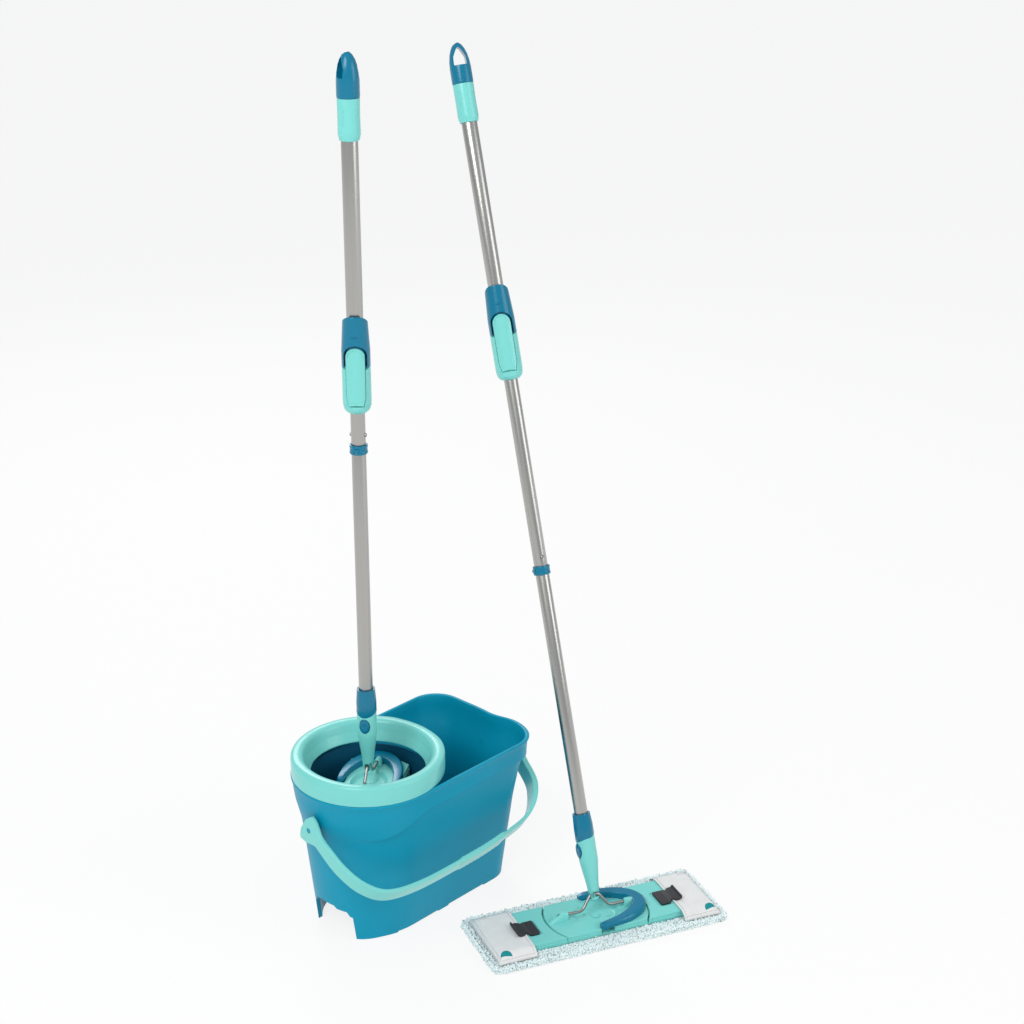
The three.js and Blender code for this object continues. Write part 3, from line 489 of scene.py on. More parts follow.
# ---- Basket and spindle ----
# The spin basket is dark polypropylene with drain slots round its wall, two ribs that drive the
# head, and a post that the head sits on. It turns on a steel pin in the tank's floor.
basket_plastic = moulded("moulded polypropylene, dark petrol", "#0A4C68", 0.42, 0.8, 0.04)
rib_plastic = moulded("moulded polypropylene, mid blue", "#0C7DA6", 0.38, 0.8, 0.03)
BASKET_FOOT = 79
BASKET_TOP = 256
head_axis = -Vector(joints["basket_loop_raise"]["axis"])
BASKET = BUCKET @ Matrix.Rotation(math.atan2(-head_axis.x, head_axis.y), 4, "Z")
WALL_LEVELS = [79, 86, 100, 104, 124, 128, 148, 152, 172, 176, 196, 200, 220, 228, 244, 252, 256]
SLOTTED = {2, 4, 6, 8, 10}


def basket_radius(z):
    """The drum's outside, which widens from its foot."""
    return 86.5 + 9.5 * (z - BASKET_FOOT) / (BASKET_TOP - BASKET_FOOT)


def basket_wall():
    """The wall as one sheet with slots left open, which is then thickened inwards."""
    mesh = bmesh.new()
    around = 120
    gap_every = 5
    rows = []
    for z in WALL_LEVELS:
        flare = 1.0 if z >= 252 else 0
        radius = basket_radius(z) - 1 + flare - 0.6
        rows.append([mesh.verts.new(Vector(p) * MM) for p in oval(radius, radius, around, z)])
    for level, (low, high) in enumerate(zip(rows, rows[1:])):
        for i in range(around):
            if level in SLOTTED and i % gap_every in (1, 2):
                continue
            j = (i + 1) % around
            mesh.faces.new((low[i], low[j], high[j], high[i]))
    made = mesh_object("basket_drum", mesh)
    thicken = made.modifiers.new("wall", "SOLIDIFY")
    thicken.thickness = 1.8 * MM
    thicken.offset = 0
    settle(made)
    return soften(made, 0.4, 40, 1)


basket = basket_wall()
floor_profile = filleted([
    (5.3, 72.2), (10, 72.2), (10, 77), (85.5, 77.4), (85.5, 79.4), (29, 79.6), (15, 119), (13, 225.5),
    (0, 225.7), (0, 103), (5.3, 99),
], [0.3, 0.5, 2, 1, 1, 6, 12, 3, 0, 0, 0.6], 4)
floor_part = turned("basket_floor", floor_profile, 96)
seat(basket, BASKET, "basket", "basket_plastic", basket_plastic, "basket")
seat(floor_part, BASKET, "basket", "basket_plastic", basket_plastic)
for side, end in ((-1, "near"), (1, "far")):
    plan = filleted([(70, 80), (85.2, 80), (88, 150), (91.5, 226), (80, 226), (72.5, 196), (70, 120)],
                    [1, 1, 1, 2, 8, 14, 10])
    rib = prism("basket_rib_" + end, plan, -7, 7, QUARTER["X"])
    rib.data.transform(Matrix.Rotation(side * math.pi / 2, 4, "Z"))
    soften(rib, 1.6, 40, 3)
    seat(rib, BASKET, "basket", "basket_plastic", rib_plastic)


def drawn_steel(name, colour, roughness, streak):
    """Drawn and polished steel: bright, with fine lines that run along it."""
    material, tree = empty_material(name)
    place = add(tree, "TexCoord", {})
    along = add(tree, "Mapping", {"Scale": (1 / (streak * MM), 1 / (streak * MM), 1 / (180 * MM))},
                {"Vector": place.outputs["Object"]})
    lines = add(tree, "TexNoise", {"Scale": 1.0, "Detail": 3.0}, {"Vector": along.outputs[0]})
    value = add(tree, "MapRange", {"To Min": 0.86, "To Max": 1.12}, {"Value": lines.outputs["Fac"]})
    tint = add(tree, "HueSaturation", {"Color": linear(colour)}, {"Value": value.outputs[0]})
    gloss = add(tree, "MapRange", {"To Min": roughness - 0.07, "To Max": roughness + 0.09},
                {"Value": lines.outputs["Fac"]})
    bump = add(tree, "Bump", {"Strength": 0.25, "Distance": 0.02 * MM}, {"Height": lines.outputs["Fac"]})
    surface(tree, {"Metallic": 1.0},
            {"Base Color": tint.outputs[0], "Roughness": gloss.outputs[0], "Normal": bump.outputs[0]})
    return material


def refinish(node, material):
    """Gives a node that is kept as it comes its material."""
    nodes[node].data.materials.clear()
    nodes[node].data.materials.append(material)


tube_steel = drawn_steel("drawn steel tube, polished", "#B4B3B0", 0.3, 2.2)
wire_steel = drawn_steel("bright steel wire", "#A6A4A1", 0.32, 1.2)
refinish("spindle", wire_steel)

# ---- Bail ----
# The carrying bail is one ABS moulding: a flat band that turns on two lugs, fan-shaped at the round
# end, with a web to the band at the other, and a ribbed grip off centre where the hand goes.
hinge = Vector(joints["bail_swing"]["pos_m"])
HANG_DROP = 32.4
hang = math.radians(180 + HANG_DROP)
BAIL = Matrix.Translation(Vector((spin.x, hinge.y, hinge.z))) @ Matrix.Rotation(hang, 4, "X")
BAIL_WIDTH = 26
BAIL_THICK = 6
BAIL_LINE = [(-128, -2), (-129, 40), (-128, 84), (-116, 124), (-88, 152), (-28, 164), (60, 166), (144, 164),
             (234, 152), (286, 114), (303, 66), (309, 34, -4), (310, 8, -13), (304, -12, -23)]


def flowing(points, steps):
    """A smooth line through points, with steps pieces between each two."""
    points = [Vector(p) for p in points]
    padded = [2 * points[0] - points[1]] + points + [2 * points[-1] - points[-2]]
    line = []
    for a, b, c, d in zip(padded, padded[1:], padded[2:], padded[3:]):
        for i in range(steps):
            t = i / steps
            line.append(0.5 * (2 * b + (c - a) * t + (2 * a - 5 * b + 4 * c - d) * t ** 2
                               + (3 * b - a - 3 * c + d) * t ** 3))
    return line + [points[-1]]


def rounded_section(width, height, radius):
    """A rounded rectangle about the origin, as (across, up) points."""
    w, h = width / 2, height / 2
    return filleted([(w * x, h * y) for x, y in SQUARE], radius, 4)


def swept(name, line, section, up=Vector((0, 0, 1))):
    """A section carried along a line. section(share, point) gives (across, up) points."""
    rings = []
    for i, point in enumerate(line):
        ahead = line[min(i + 1, len(line) - 1)] - line[max(i - 1, 0)]
        across = ahead.cross(up).normalized()
        rings.append([point + across * a + up * b for a, b in section(i / (len(line) - 1), point)])
    return lofted(name, rings)


def grip_swell(u):
    """How much thicker the band is at the ribbed grip, with a recess where the grip ends."""
    grip = ramp(58, 66, u) * (1 - ramp(164, 167, u))
    recess = ramp(167, 169, u) * (1 - ramp(178, 181, u))
    rib = 0.5 - 0.5 * math.cos(2 * math.pi * u / 9)
    return grip * (1.6 + 1.3 * rib) - 1.5 * recess


def bail_section(share, point):
    """The band's section: thicker at the grip, narrower at the pivots, deeper in the web's arm."""
    swell = grip_swell(point.x) if point.y > 100 else 0
    neck = 4 * (1 - ramp(10, 60, point.y)) * (1 if point.x < 0 else 0)
    arm = 5 * ramp(240, 292, point.x) * ramp(-24, 10, point.y)
    tail = 10 * (1 - ramp(-24, 6, point.y)) if point.x > 0 else 0
    return rounded_section(BAIL_THICK + swell + arm, BAIL_WIDTH - neck - tail + 0.8 * swell, 1.7)


bail_band = swept("bail_handle", flowing([(*p, 0)[:3] for p in BAIL_LINE], 24), bail_section)


ACROSS = Matrix(((0, 0, 1, 0), (0, 1, 0, 0), (-1, 0, 0, 0), (0, 0, 0, 1)))


def lug(name, at, plan, thick):
    """A flat lug across the pivot, from an outline of (across the band, out from the pivot)."""
    turn = Matrix.Translation(Vector((at, 0, 0)) * MM) @ ACROSS
    return soften(prism(name, plan, -thick / 2, thick / 2, turn), 1.3, 40, 3)


FAN_PLAN = filleted([(-11, 42), (-12, 24), (-25, 5), (-28, -8), (-12, -15), (12, -15), (28, -8), (25, 5),
                     (12, 24), (11, 42)], [0, 18, 8, 5, 14, 14, 5, 8, 18, 0], 6)
web_plan = filleted([(302, 78), (296, 58), (287, 50), (284, 44), (284, -10), (290, -13), (299, -8), (306, 6),
                     (308, 30)], [0, 12, 6, 3, 6, 8, 8, 6, 4], 5)
web = soften(prism("bail_web", web_plan, -10, 10), 1.4, 40, 2)
cut(bail_band, lug("fan", -128, FAN_PLAN, BAIL_THICK), operation="UNION")
bores = [turned("bore", [(0, low), (4.35, low), (4.35, high), (0, high)], 32,
                place=QUARTER["Y"]) for low, high in ((-131.7, -120), (270, 288))]
cut(web, bores.pop())
cut(bail_band, *bores)
seat(bail_band, BAIL, "bail", "pale_plastic", pale_plastic, "bail")
# The web is the same pale turquoise moulding as the band; its darker sea-green colour is painted shade for
# the arm's shaded inner side.
painted_shade_plastic = moulded("polished ABS, dark sea green painted shade", "#1C8F94", 0.34, 0.9, 0.012)
seat(web, BAIL, "bail", "pale_plastic", painted_shade_plastic)

# ---- Poles ----
# Each mop's pole is drawn steel tube: a foot tube and a middle tube joined under a plastic ring,
# and a wider upper tube that slides over them inside the clamp.
deep_plastic = moulded("polished ABS, deep petrol", "#007798", 0.24, 0.9, 0.012, 0.03, 0.3)
nylon = moulded("moulded nylon, natural", "#D9D8D2", 0.45, 0.6, 0.02)
MOPS = ("basket_", "floor_")


def seated_frame(origin, x, z):
    """A frame with its origin, its x axis and its z axis, as a matrix."""
    x, z = Vector(x).normalized(), Vector(z).normalized()
    y = z.cross(x)
    turn = Matrix((x, y, z)).transposed().to_4x4()
    return Matrix.Translation(Vector(origin)) @ turn


PLATE_TOP = 21
HEAD, YOKE, POLE, HANDLE = {}, {}, {}, {}
for mop in MOPS:
    raise_axis = -Vector(joints[mop + "loop_raise"]["axis"])
    tilt = Vector(joints[mop + "socket_tilt"]["axis"])
    pump = Vector(joints[mop + "pump"]["axis"])
    low = Vector(joints[mop + "loop_raise"]["pos_m"])
    yoke_at = Vector(joints[mop + "yoke_tilt"]["pos_m"])
    eye_at = Vector(joints[mop + "socket_tilt"]["pos_m"])
    ahead = raise_axis.cross(Vector((0, 0, 1)))
    HEAD[mop] = seated_frame(low - Vector((0, 0, PLATE_TOP * MM)), ahead, (0, 0, 1))
    YOKE[mop] = seated_frame(yoke_at, -Vector(joints[mop + "yoke_tilt"]["axis"]), eye_at - yoke_at)
    POLE[mop] = seated_frame(eye_at, tilt.cross(pump), pump)
    HANDLE[mop] = seated_frame(joints[mop + "twist"]["pos_m"], joints[mop + "lever_open"]["axis"], pump)

TUBE = 11
UPPER = 12.4
RING_LOW = 530
RING_TOP = 544
SNAP_Z = 559


def lifted(height):
    """A move straight up, in millimetres."""
    return Matrix.Translation((0, 0, height * MM))


def pipe(name, radius, low, high):
    """A tube with a wall of one millimetre and its ends deburred."""
    profile = filleted([(radius, low), (radius, high), (radius - 1, high), (radius - 1, low)], 0.3, 2)
    return turned(name, profile, 64, closed=True)


for mop in MOPS:
    foot = pipe(mop + "foot_tube_drawn", TUBE, 55.3, 537)
    middle = pipe(mop + "middle_tube_drawn", TUBE, 537.3, 964)
    upper = pipe(mop + "upper_tube_drawn", UPPER, 20, 461)
    holes = turned("holes", [(0, -20), (3.3, -20), (3.3, 20), (0, 20)], 24,
                   place=lifted(SNAP_Z) @ QUARTER["X"])
    cut(middle, holes)
    seat(foot, POLE[mop], mop + "pole", "tube_steel", tube_steel, mop + "foot_tube")
    seat(middle, POLE[mop], mop + "pole", "tube_steel", tube_steel, mop + "middle_tube")
    seat(upper, HANDLE[mop], mop + "handle", "tube_steel", tube_steel, mop + "upper_tube")
    ring_profile = filleted([(11.3, RING_LOW), (13.6, RING_LOW), (14, RING_LOW + 3), (13.4, RING_LOW + 4),
                             (13.4, RING_TOP - 4), (14, RING_TOP - 3), (13.6, RING_TOP), (11.3, RING_TOP)],
                            [0.2, 0.8, 0.5, 0.4, 0.4, 0.5, 0.8, 0.2], 3)
    ring = turned(mop + "stop_ring_moulded", ring_profile, 72, closed=True)
    tab = soften(prism("tab", rounded_section(5, 9, 1.5), 12.2, 14.9,
                       lifted(537) @ Matrix.Rotation(-math.pi / 2, 4, "Y")), 0.5, 40)
    cut(ring, tab, operation="UNION")
    seat(ring, POLE[mop], mop + "pole", "deep_plastic", deep_plastic, mop + "stop_ring")
    for hand, side in (("left", 1), ("right", -1)):
        snap_profile = filleted([(0, 4.5), (3, 4.5), (3, 12.2), (1.6, 13.2), (0, 13.2)],
                                [0, 0.2, 1.2, 0.8, 0], 4)
        snap = turned(mop + "snap_" + hand + "_pin", snap_profile, 32,
                      place=lifted(SNAP_Z) @ Matrix.Rotation(-side * math.pi / 2, 4, "X"))
        seat(snap, POLE[mop], mop + "snap_" + hand, "wire_steel", wire_steel, mop + "snap_button_" + hand)
    for node, material in (("drive_nut", nylon), ("guide_bush", nylon), ("twist_rod", wire_steel),
                           ("wing_pin_left", wire_steel), ("wing_pin_right", wire_steel)):
        refinish(mop + node, material)

# ---- Clamp ----
# The clamp is two polished ABS shells, pale below and deep petrol above, with a slanting joint
# between them. A pale cam lever lies in a recess across both and grips the middle tube.
CLAMP = 21.5
LEVER_HALF = 14
LEVER_LOW = 14
LEVER_TOP = 104
JOINT_Z = 76
JOINT_GAP = 0.2
JOINT_TILT = 24


def tongue_plan(grow):
    """The lever's outline from the front, as (across, up) points."""
    half = LEVER_HALF + grow
    crown = arc(0, LEVER_TOP - half + grow, half, 0, 180, 24)
    return [(-half + 3, LEVER_LOW - grow), (half - 3, LEVER_LOW - grow), (half, LEVER_LOW + 14)] + crown \
        + [(-half, LEVER_LOW + 14)]


def slant(height, angle, above):
    """A half space above or below a plane through the axis, tilted about X."""
    edge = 90
    plan = [(edge * x, edge * y) for x, y in SQUARE]
    place = lifted(height) @ Matrix.Rotation(math.radians(angle), 4, "X")
    return prism("slant", plan, 0 if above else -2 * edge, 2 * edge if above else 0, place)


def recess(grow, inner):
    """The ring-shaped space that the lever fills, grown by a clearance."""
    band = turned("band", [(inner, 2), (40, 2), (40, 120), (inner, 120)], 96, closed=True)
    front = prism("front", tongue_plan(grow), 4, 40, QUARTER["X"])
    return cut(band, front, operation="INTERSECT")


for mop in MOPS:
    lower_profile = filleted([(11.8, 0), (14.5, 0.6), (19.4, 5.5), (21.1, 12.4), (20.7, 12.9), (20.7, 13.3),
                              (21.3, 13.9), (CLAMP, 24), (CLAMP, 118), (14.6, 118), (14.6, 4), (11.8, 4)],
                             [0.5, 4, 7, 0, 0, 0, 0, 20, 0, 0, 0.5, 0.5], 5)
    lower = turned(mop + "clamp_lower_moulded", lower_profile, 96, closed=True)
    cut(lower, slant(JOINT_Z - JOINT_GAP, JOINT_TILT, True), recess(0.6, 17.4))
    back_plan = filleted([(-12, 40), (12, 40), (12, 128), (-12, 128)], [2, 2, 11.5, 11.5], 8)
    back_front = prism("back_front", back_plan, -40, -4, QUARTER["X"])
    back = turned("back", [(21.2, 2), (22.4, 2), (22.4, 140), (21.2, 140)], 96, closed=True)
    cut(back, back_front, operation="INTERSECT")
    cut(lower, back, operation="UNION")
    soften(lower, 0.55, 38, 2)
    seat(lower, HANDLE[mop], mop + "handle", "pale_plastic", pale_plastic, mop + "clamp_lower_shell")

    upper_profile = filleted([(CLAMP, 40), (CLAMP, 96), (18.2, 150), (12.7, 150), (12.7, 40)],
                             [0, 40, 2, 0.4, 0], 6)
    upper_shell = turned(mop + "clamp_upper_moulded", upper_profile, 96, closed=True)
    cut(upper_shell, slant(JOINT_Z + JOINT_GAP, JOINT_TILT, False), recess(3.4, 16.8), slant(139, -35, True))
    notch_plan = filleted([(-6, 121), (6, 121), (4.5, 118.4), (-4.5, 118.4)], [0.6, 0.6, 1, 1], 3)
    cut(upper_shell, prism("notch", notch_plan, 19, 24, QUARTER["X"]))
    soften(upper_shell, 1.1, 38, 3)
    seat(upper_shell, HANDLE[mop], mop + "handle", "deep_plastic", deep_plastic, mop + "clamp_upper_shell")

    lever = recess(0, 19.3)
    lever.name = mop + "clamp_lever_moulded"
    trim = turned("trim", [(22.9, 2), (50, 2), (50, 122), (22.9, 122)], 96, closed=True)
    cut(lever, trim, slant(3.3, -30, False))
    lip_plan = arc(0, LEVER_TOP - LEVER_HALF, LEVER_HALF - 0.4, 0, 180, 24) \
        + arc(0, LEVER_TOP - LEVER_HALF, LEVER_HALF - 2.6, 180, 0, 24)
    lip = turned("lip", [(21.5, 60), (23.7, 60), (23.7, 110), (21.5, 110)], 96, closed=True)
    cut(lip, prism("lip_front", lip_plan, 4, 40, QUARTER["X"]), operation="INTERSECT")
    cut(lever, lip, operation="UNION")
    soften(lever, 0.7, 38, 2)
    seat(lever, HANDLE[mop], mop + "lever", "pale_plastic", pale_plastic, mop + "clamp_lever")

# ---- Grip and hanging cap ----
# The top of the handle is a pale sleeve with a row of small raised pips, closed by a petrol cap
# that narrows like a bullet, with a pointed eye straight through it to hang it by.
GRIP_LOW = 405
GRIP_TOP = 465
GRIP = 16.5
PIP_ROWS = 8
PIP_TOP = 452
PIP_STEP = 3.4
CAP_LEVELS = [(465, 15.8), (465.4, 16.6), (468, 16.9), (489, 16.8), (500, 16), (510, 14), (518, 11.2),
              (524, 7.8), (527.4, 4.4), (528.8, 1.6)]
for mop, cap_turn in zip(MOPS, (-60, 6)):
    grip_profile = filleted([(12.7, GRIP_LOW), (14.6, GRIP_LOW), (GRIP, GRIP_LOW + 8),
                             (GRIP - 0.4, GRIP_LOW + 34), (GRIP, GRIP_TOP - 0.3), (12.7, GRIP_TOP - 0.3)],
                            [0.5, 1.6, 14, 30, 0.6, 0.4], 5)
    grip = turned(mop + "grip_sleeve_moulded", grip_profile, 80, closed=True)
    pips = []
    for row in range(PIP_ROWS):
        out = Matrix.Translation((GRIP * MM, 0, (PIP_TOP - PIP_STEP * row) * MM))
        at = Matrix.Rotation(math.radians(-118), 4, "Z") @ out @ QUARTER["Y"]
        pips.append(turned("pip", [(0, -1.5), (1.1, -1.5), (1.1, 0.1), (0.7, 0.45), (0, 0.5)], 12, place=at))
    cut(grip, *pips, operation="UNION")
    seat(grip, HANDLE[mop], mop + "handle", "pale_plastic", pale_plastic, mop + "grip_sleeve")

    cap = lofted(mop + "hang_cap_moulded", [oval(radius, radius, 72, z) for z, radius in CAP_LEVELS])
    eye_plan = filleted([(-10, 493), (10, 493), (9.5, 506), (0, 524), (-9.5, 506)], [1.6, 1.6, 12, 4, 12], 6)
    cut(cap, prism("eye", eye_plan, -30, 30, QUARTER["X"]))
    soften(cap, 1.0, 38, 3)
    cap.data.transform(Matrix.Rotation(math.radians(cap_turn), 4, "Z"))
    seat(cap, HANDLE[mop], mop + "handle", "deep_plastic", deep_plastic, mop + "hang_cap")

# ---- Socket ----
# The pole plugs into a pale ABS socket that tapers to its eye on the wire yoke, under a petrol
# sleeve with a curved lower edge. An oval spring button in its side lets the pole go.
SOCKET = 15.5
BUTTON_Z = 76
SLEEVE_LEVELS = [(11.4, 4, 0), (SOCKET + 0.1, 0, 0), (SOCKET + 0.5, 0.8, 0), (SOCKET + 0.4, 8, 0.3),
                 (SOCKET - 0.4, 0, 0.75), (SOCKET - 1.1, 0, 1), (SOCKET - 2.1, 1.2, 1), (11.4, 1.2, 1)]
BUTTON_LEVELS = [(13.2, 0.97), (15.6, 0.97), (16.3, 0.9), (16.7, 0.7), (16.5, 0.4), (16.3, 0.12)]
SLEEVE_TOP = 136
for mop in MOPS:
    body_profile = filleted([(0, -9), (5, -8.6), (8.6, -4), (9.1, 6), (10.4, 20), (13.2, 40), (SOCKET, 58),
                             (SOCKET, 104), (11.4, 104), (11.4, 56), (0, 56)],
                            [0, 3, 4, 8, 16, 20, 24, 0.2, 0.2, 0.4, 0], 5)
    body = turned(mop + "socket_moulded", body_profile, 80)
    eye_plan = filleted([(-3.4, -7.1), (3.4, -7.1), (3.4, 5.9), (-3.4, 5.9)], 2.4, 5)
    eye = prism("eye", eye_plan, -22, 22, QUARTER["Z"] @ QUARTER["X"])
    to_side = lifted(BUTTON_Z) @ QUARTER["Z"] @ Matrix.Rotation(-math.pi / 2, 4, "X") @ HALF_TURN
    well = prism("well", [(x, y) for x, y, _ in oval(8.8, 12.8, 48)], 8, 24, to_side)
    fork_plan = filleted([(-20, -12), (20, -12), (20, 7.4), (-20, 7.4)], [0, 0, 3, 3], 4)
    fork = prism("fork", fork_plan, 3.4, 22, QUARTER["X"])
    cut(body, eye, well, fork)
    soften(body, 0.5, 40, 2)
    seat(body, POLE[mop], mop + "pole", "pale_plastic", pale_plastic, mop + "socket_body")

    sleeve_rings = []
    for radius, low, share in SLEEVE_LEVELS:
        ring = []
        for i in range(80):
            a = 2 * math.pi * i / 80
            hem = 96.4 - 5.5 * math.cos(a + math.pi) * abs(math.cos(a)) + low
            ring.append((radius * math.cos(a), radius * math.sin(a), hem + (SLEEVE_TOP - hem) * share))
        sleeve_rings.append(ring)
    sleeve = lofted(mop + "socket_sleeve_moulded", sleeve_rings + [sleeve_rings[0]], cap=False)
    sleeve.modifiers.new("weld", "WELD").merge_threshold = 1e-6
    settle(sleeve, 40)
    seat(sleeve, POLE[mop], mop + "pole", "deep_plastic", deep_plastic, mop + "socket_sleeve")

    button = lofted(mop + "socket_button_moulded",
                    [oval(8.3 * share, 12.3 * share, 48, depth) for depth, share in BUTTON_LEVELS])
    button.data.transform(to_side)
    seat(button, POLE[mop], mop + "socket_release", "deep_plastic", deep_plastic, mop + "socket_button")

# ---- Wire yoke ----
# A bent steel wire joins the socket to the plate: it turns in two clips and rises in a V to carry
# the socket's eye, so that the pole leans both ways.
for mop in MOPS:
    bend_line = filleted([(-63, 0, 0), (-24, 0, -1.5), (-7, 0, 22), (7, 0, 22), (24, 0, -1.5), (63, 0, 0)],
                         [0, 16, 9, 9, 16, 0], 8, closed=False)
    curve = bpy.data.curves.new("wire", "CURVE")
    curve.dimensions = "3D"
    curve.bevel_depth = 2.5 * MM
    curve.bevel_resolution = 6
    curve.use_fill_caps = True
    spline = curve.splines.new("POLY")
    spline.points.add(len(bend_line) - 1)
    for point, at in zip(spline.points, bend_line):
        point.co = (*(Vector(at) * MM), 1)
    wire_curve = bpy.data.objects.new("wire_curve", curve)
    scene.collection.objects.link(wire_curve)
    bpy.context.view_layer.update()
    held = wire_curve.evaluated_get(bpy.context.evaluated_depsgraph_get())
    wire = bpy.data.objects.new(mop + "yoke_bent_wire", bpy.data.meshes.new_from_object(held))
    wire.data.shade_smooth()
    scene.collection.objects.link(wire)
    bpy.data.objects.remove(wire_curve)
    seat(wire, YOKE[mop], mop + "yoke", "wire_steel", wire_steel, mop + "yoke_wire")

# ---- Head plate and wings ----
# The plate is a moulded ABS disc cut straight on its long sides, with a shallow cup, two humps that
# clip the wire, and slots for the loop. A wing is hinged under each end and drops to fold.
HALF_WIDTH = 50
DISC = 86
SEAM = 0.8
HINGE_X = 66
HINGE_Z = 12
WING_TIP = 184
FOLD = {"basket_": 93, "floor_": 0}


def inset(outline, by):
    """An outline drawn in by a distance, corner by corner."""
    made = []
    for i, here in enumerate(outline):
        before = (Vector(here) - Vector(outline[i - 1])).normalized()
        after = (Vector(outline[(i + 1) % len(outline)]) - Vector(here)).normalized()
        normal = Vector((-before.y - after.y, before.x + after.x))
        share = max(normal.length_squared / 4, 0.3)
        made.append(tuple(Vector(here) + normal * (by / (2 * share))))
    return made


def pressed(name, outline, levels):
    """An outline stacked at (height, inset) levels."""
    made = lofted(name, [[(x, y, z) for x, y in inset(outline, by)] for z, by in levels])
    made.modifiers.new("flat ends in triangles", "TRIANGULATE").min_vertices = 5
    return settle(made)


def disc_plan():
    """The plate from above: a disc with two long sides cut straight."""
    edge = math.degrees(math.asin(HALF_WIDTH / DISC))
    right = arc(0, 0, DISC, -edge, edge, 24)
    left = arc(0, 0, DISC, 180 - edge, 180 + edge, 24)
    return right + stretch(right[-1], left[0], 16) + left + stretch(left[-1], right[0], 16)


def wing_plan():
    """A wing from above, with its inner end hollowed to follow the plate."""
    radius = DISC + SEAM
    edge = math.degrees(math.asin(HALF_WIDTH / radius))
    inner = arc(0, 0, radius, edge, -edge, 28)
    tip = WING_TIP - 9
    near = arc(tip, -HALF_WIDTH + 9, 9, -90, 0, 8)
    far = arc(tip, HALF_WIDTH - 9, 9, 0, 90, 8)
    return (inner + stretch(inner[-1], near[0], 14) + near + stretch(near[-1], far[0], 8) + far
            + stretch(far[-1], inner[0], 14))


EDGE_LEVELS = [(9, 0.8), (9.6, 0.1), (10.4, 0), (14.2, 0), (14.6, 0.3), (14.8, 0.9), (19.8, 1), (20.6, 1.3),
               (PLATE_TOP, 2)]
HUMP_FRONT = [(49.5, 5.2, 12.6), (50.3, 6.4, 14.4), (53, 7, 15.4)]
HUMP = HUMP_FRONT + [(60, 7, 15.4), (64.5, 6.4, 14), (67.5, 5, 10), (69, 2.4, 4)]
HUMP_TAIL = HUMP_FRONT + [(60, 7, 15.2), (66, 7.4, 12.6), (74, 7.6, 8), (80, 7, 4), (83.5, 5, 2.2)]


def hump(stations, side):
    """A rounded rib along X over a clip, from stations of (place, half width, height)."""
    rings = []
    for x, wide, high in stations:
        over = [(side * x, wide * math.cos(a), 19.6 + high * math.sin(a)) for a in
                (math.pi * i / 20 for i in range(21))]
        rings.append(over + [(side * x, -wide, 18), (side * x, wide, 18)])
    return lofted("hump", rings)


def knuckle(y, grow):
    """A hinge arm from under the wing to the pin, grown to cut its room in the plate."""
    half = 6 + grow * 0.3
    plan = filleted([(63 - grow, 9 - 3 * grow), (90, 9 - 3 * grow), (90, 15 + grow), (63 - grow, 15 + grow)],
                    [3, 0, 0, 3], 5)
    return prism("knuckle", plan, -y - half, -y + half, QUARTER["X"])


def wing_frame(mop, side):
    """A wing's frame: the head's, turned about the wing's pin."""
    pin = Matrix.Translation(Vector((side * HINGE_X, 0, HINGE_Z)) * MM)
    return HEAD[mop] @ pin @ Matrix.Rotation(math.radians(side * FOLD[mop]), 4, "Y") @ pin.inverted()


for mop in MOPS:
    plate = pressed(mop + "head_plate_moulded", disc_plan(), EDGE_LEVELS)
    cup_profile = filleted([(0, 14.4), (27, 14.4), (34, 23), (0, 23)], [0, 5, 0, 0], 6)
    cup = turned("cup", cup_profile, 72, place=Matrix.Diagonal((1.22, 0.92, 1, 1)))
    cut(plate, cup)
    for stations, side in ((HUMP, 1), (HUMP_TAIL, -1)):
        cut(plate, hump(stations, side), operation="UNION")
    for side in (-1, 1):
        slot_plan = [(x, y + side * 46) for x, y in filleted([(-12, -8), (12, -8), (12, 8), (-12, 8)], 6, 5)]
        pin_room = [knuckle(side * 25, 2.2), knuckle(-side * 25, 2.2)]
        for tool in pin_room:
            tool.data.transform(HALF_TURN if side < 0 else Matrix())
        cut(plate, prism("slot", slot_plan, 12, 30), *pin_room)
    wire_room = turned("wire_room", [(0, -80), (2.9, -80), (2.9, 80), (0, 80)], 24,
                       place=lifted(30) @ QUARTER["Y"])
    cut(plate, wire_room)
    boss = turned("boss", filleted([(0, 14), (7.5, 14), (7.5, 16.4), (5.6, 16.4), (4.8, 15.2), (0, 15.2)],
                                   [0, 0, 0.5, 0.5, 0.4, 0], 3), 36)
    studs = [turned("stud", [(0, 14), (1.7, 14), (1.5, 15.8), (0, 16)], 20,
                    place=Matrix.Translation((x * MM, y * MM, 0)))
             for x, y in ((17, -9), (21, -9), (-16, 10))]
    cut(plate, boss, *studs, operation="UNION")
    soften(plate, 0.35, 44, 1)
    seat(plate, HEAD[mop], mop + "head", "pale_plastic", pale_plastic, mop + "head_plate")

    for hand, side in (("left", -1), ("right", 1)):
        wing = pressed(mop + "wing_" + hand + "_moulded", wing_plan(), EDGE_LEVELS)
        low, high = (-26, 16) if side > 0 else (-16, 26)
        well_plan = filleted([(104, low), (126, low), (126, high), (104, high)], 2.5, 4)
        cut(wing, prism("well", well_plan, 19.8, 24))
        cut(wing, knuckle(25, 0), knuckle(-25, 0), operation="UNION")
        if side < 0:
            wing.data.transform(HALF_TURN)
        soften(wing, 0.3, 44, 1)
        seat(wing, wing_frame(mop, side), f"{mop}wing_{hand}_leaf", "pale_plastic", pale_plastic,
             f"{mop}wing_{hand}")

# ---- Lift loop ----
# A C-shaped ABS loop pivots in the plate's slots and lies round the far clip. It is widest at its
# crown and narrows to the two ends that drop into the slots.
LOOP_UNDER = -4.7
loop_turns = [math.radians(-97 + 194 * i / 60) for i in range(61)]
loop_line = [Vector((77 * math.cos(a) - 2, 45 * math.sin(a), 26)) for a in loop_turns]


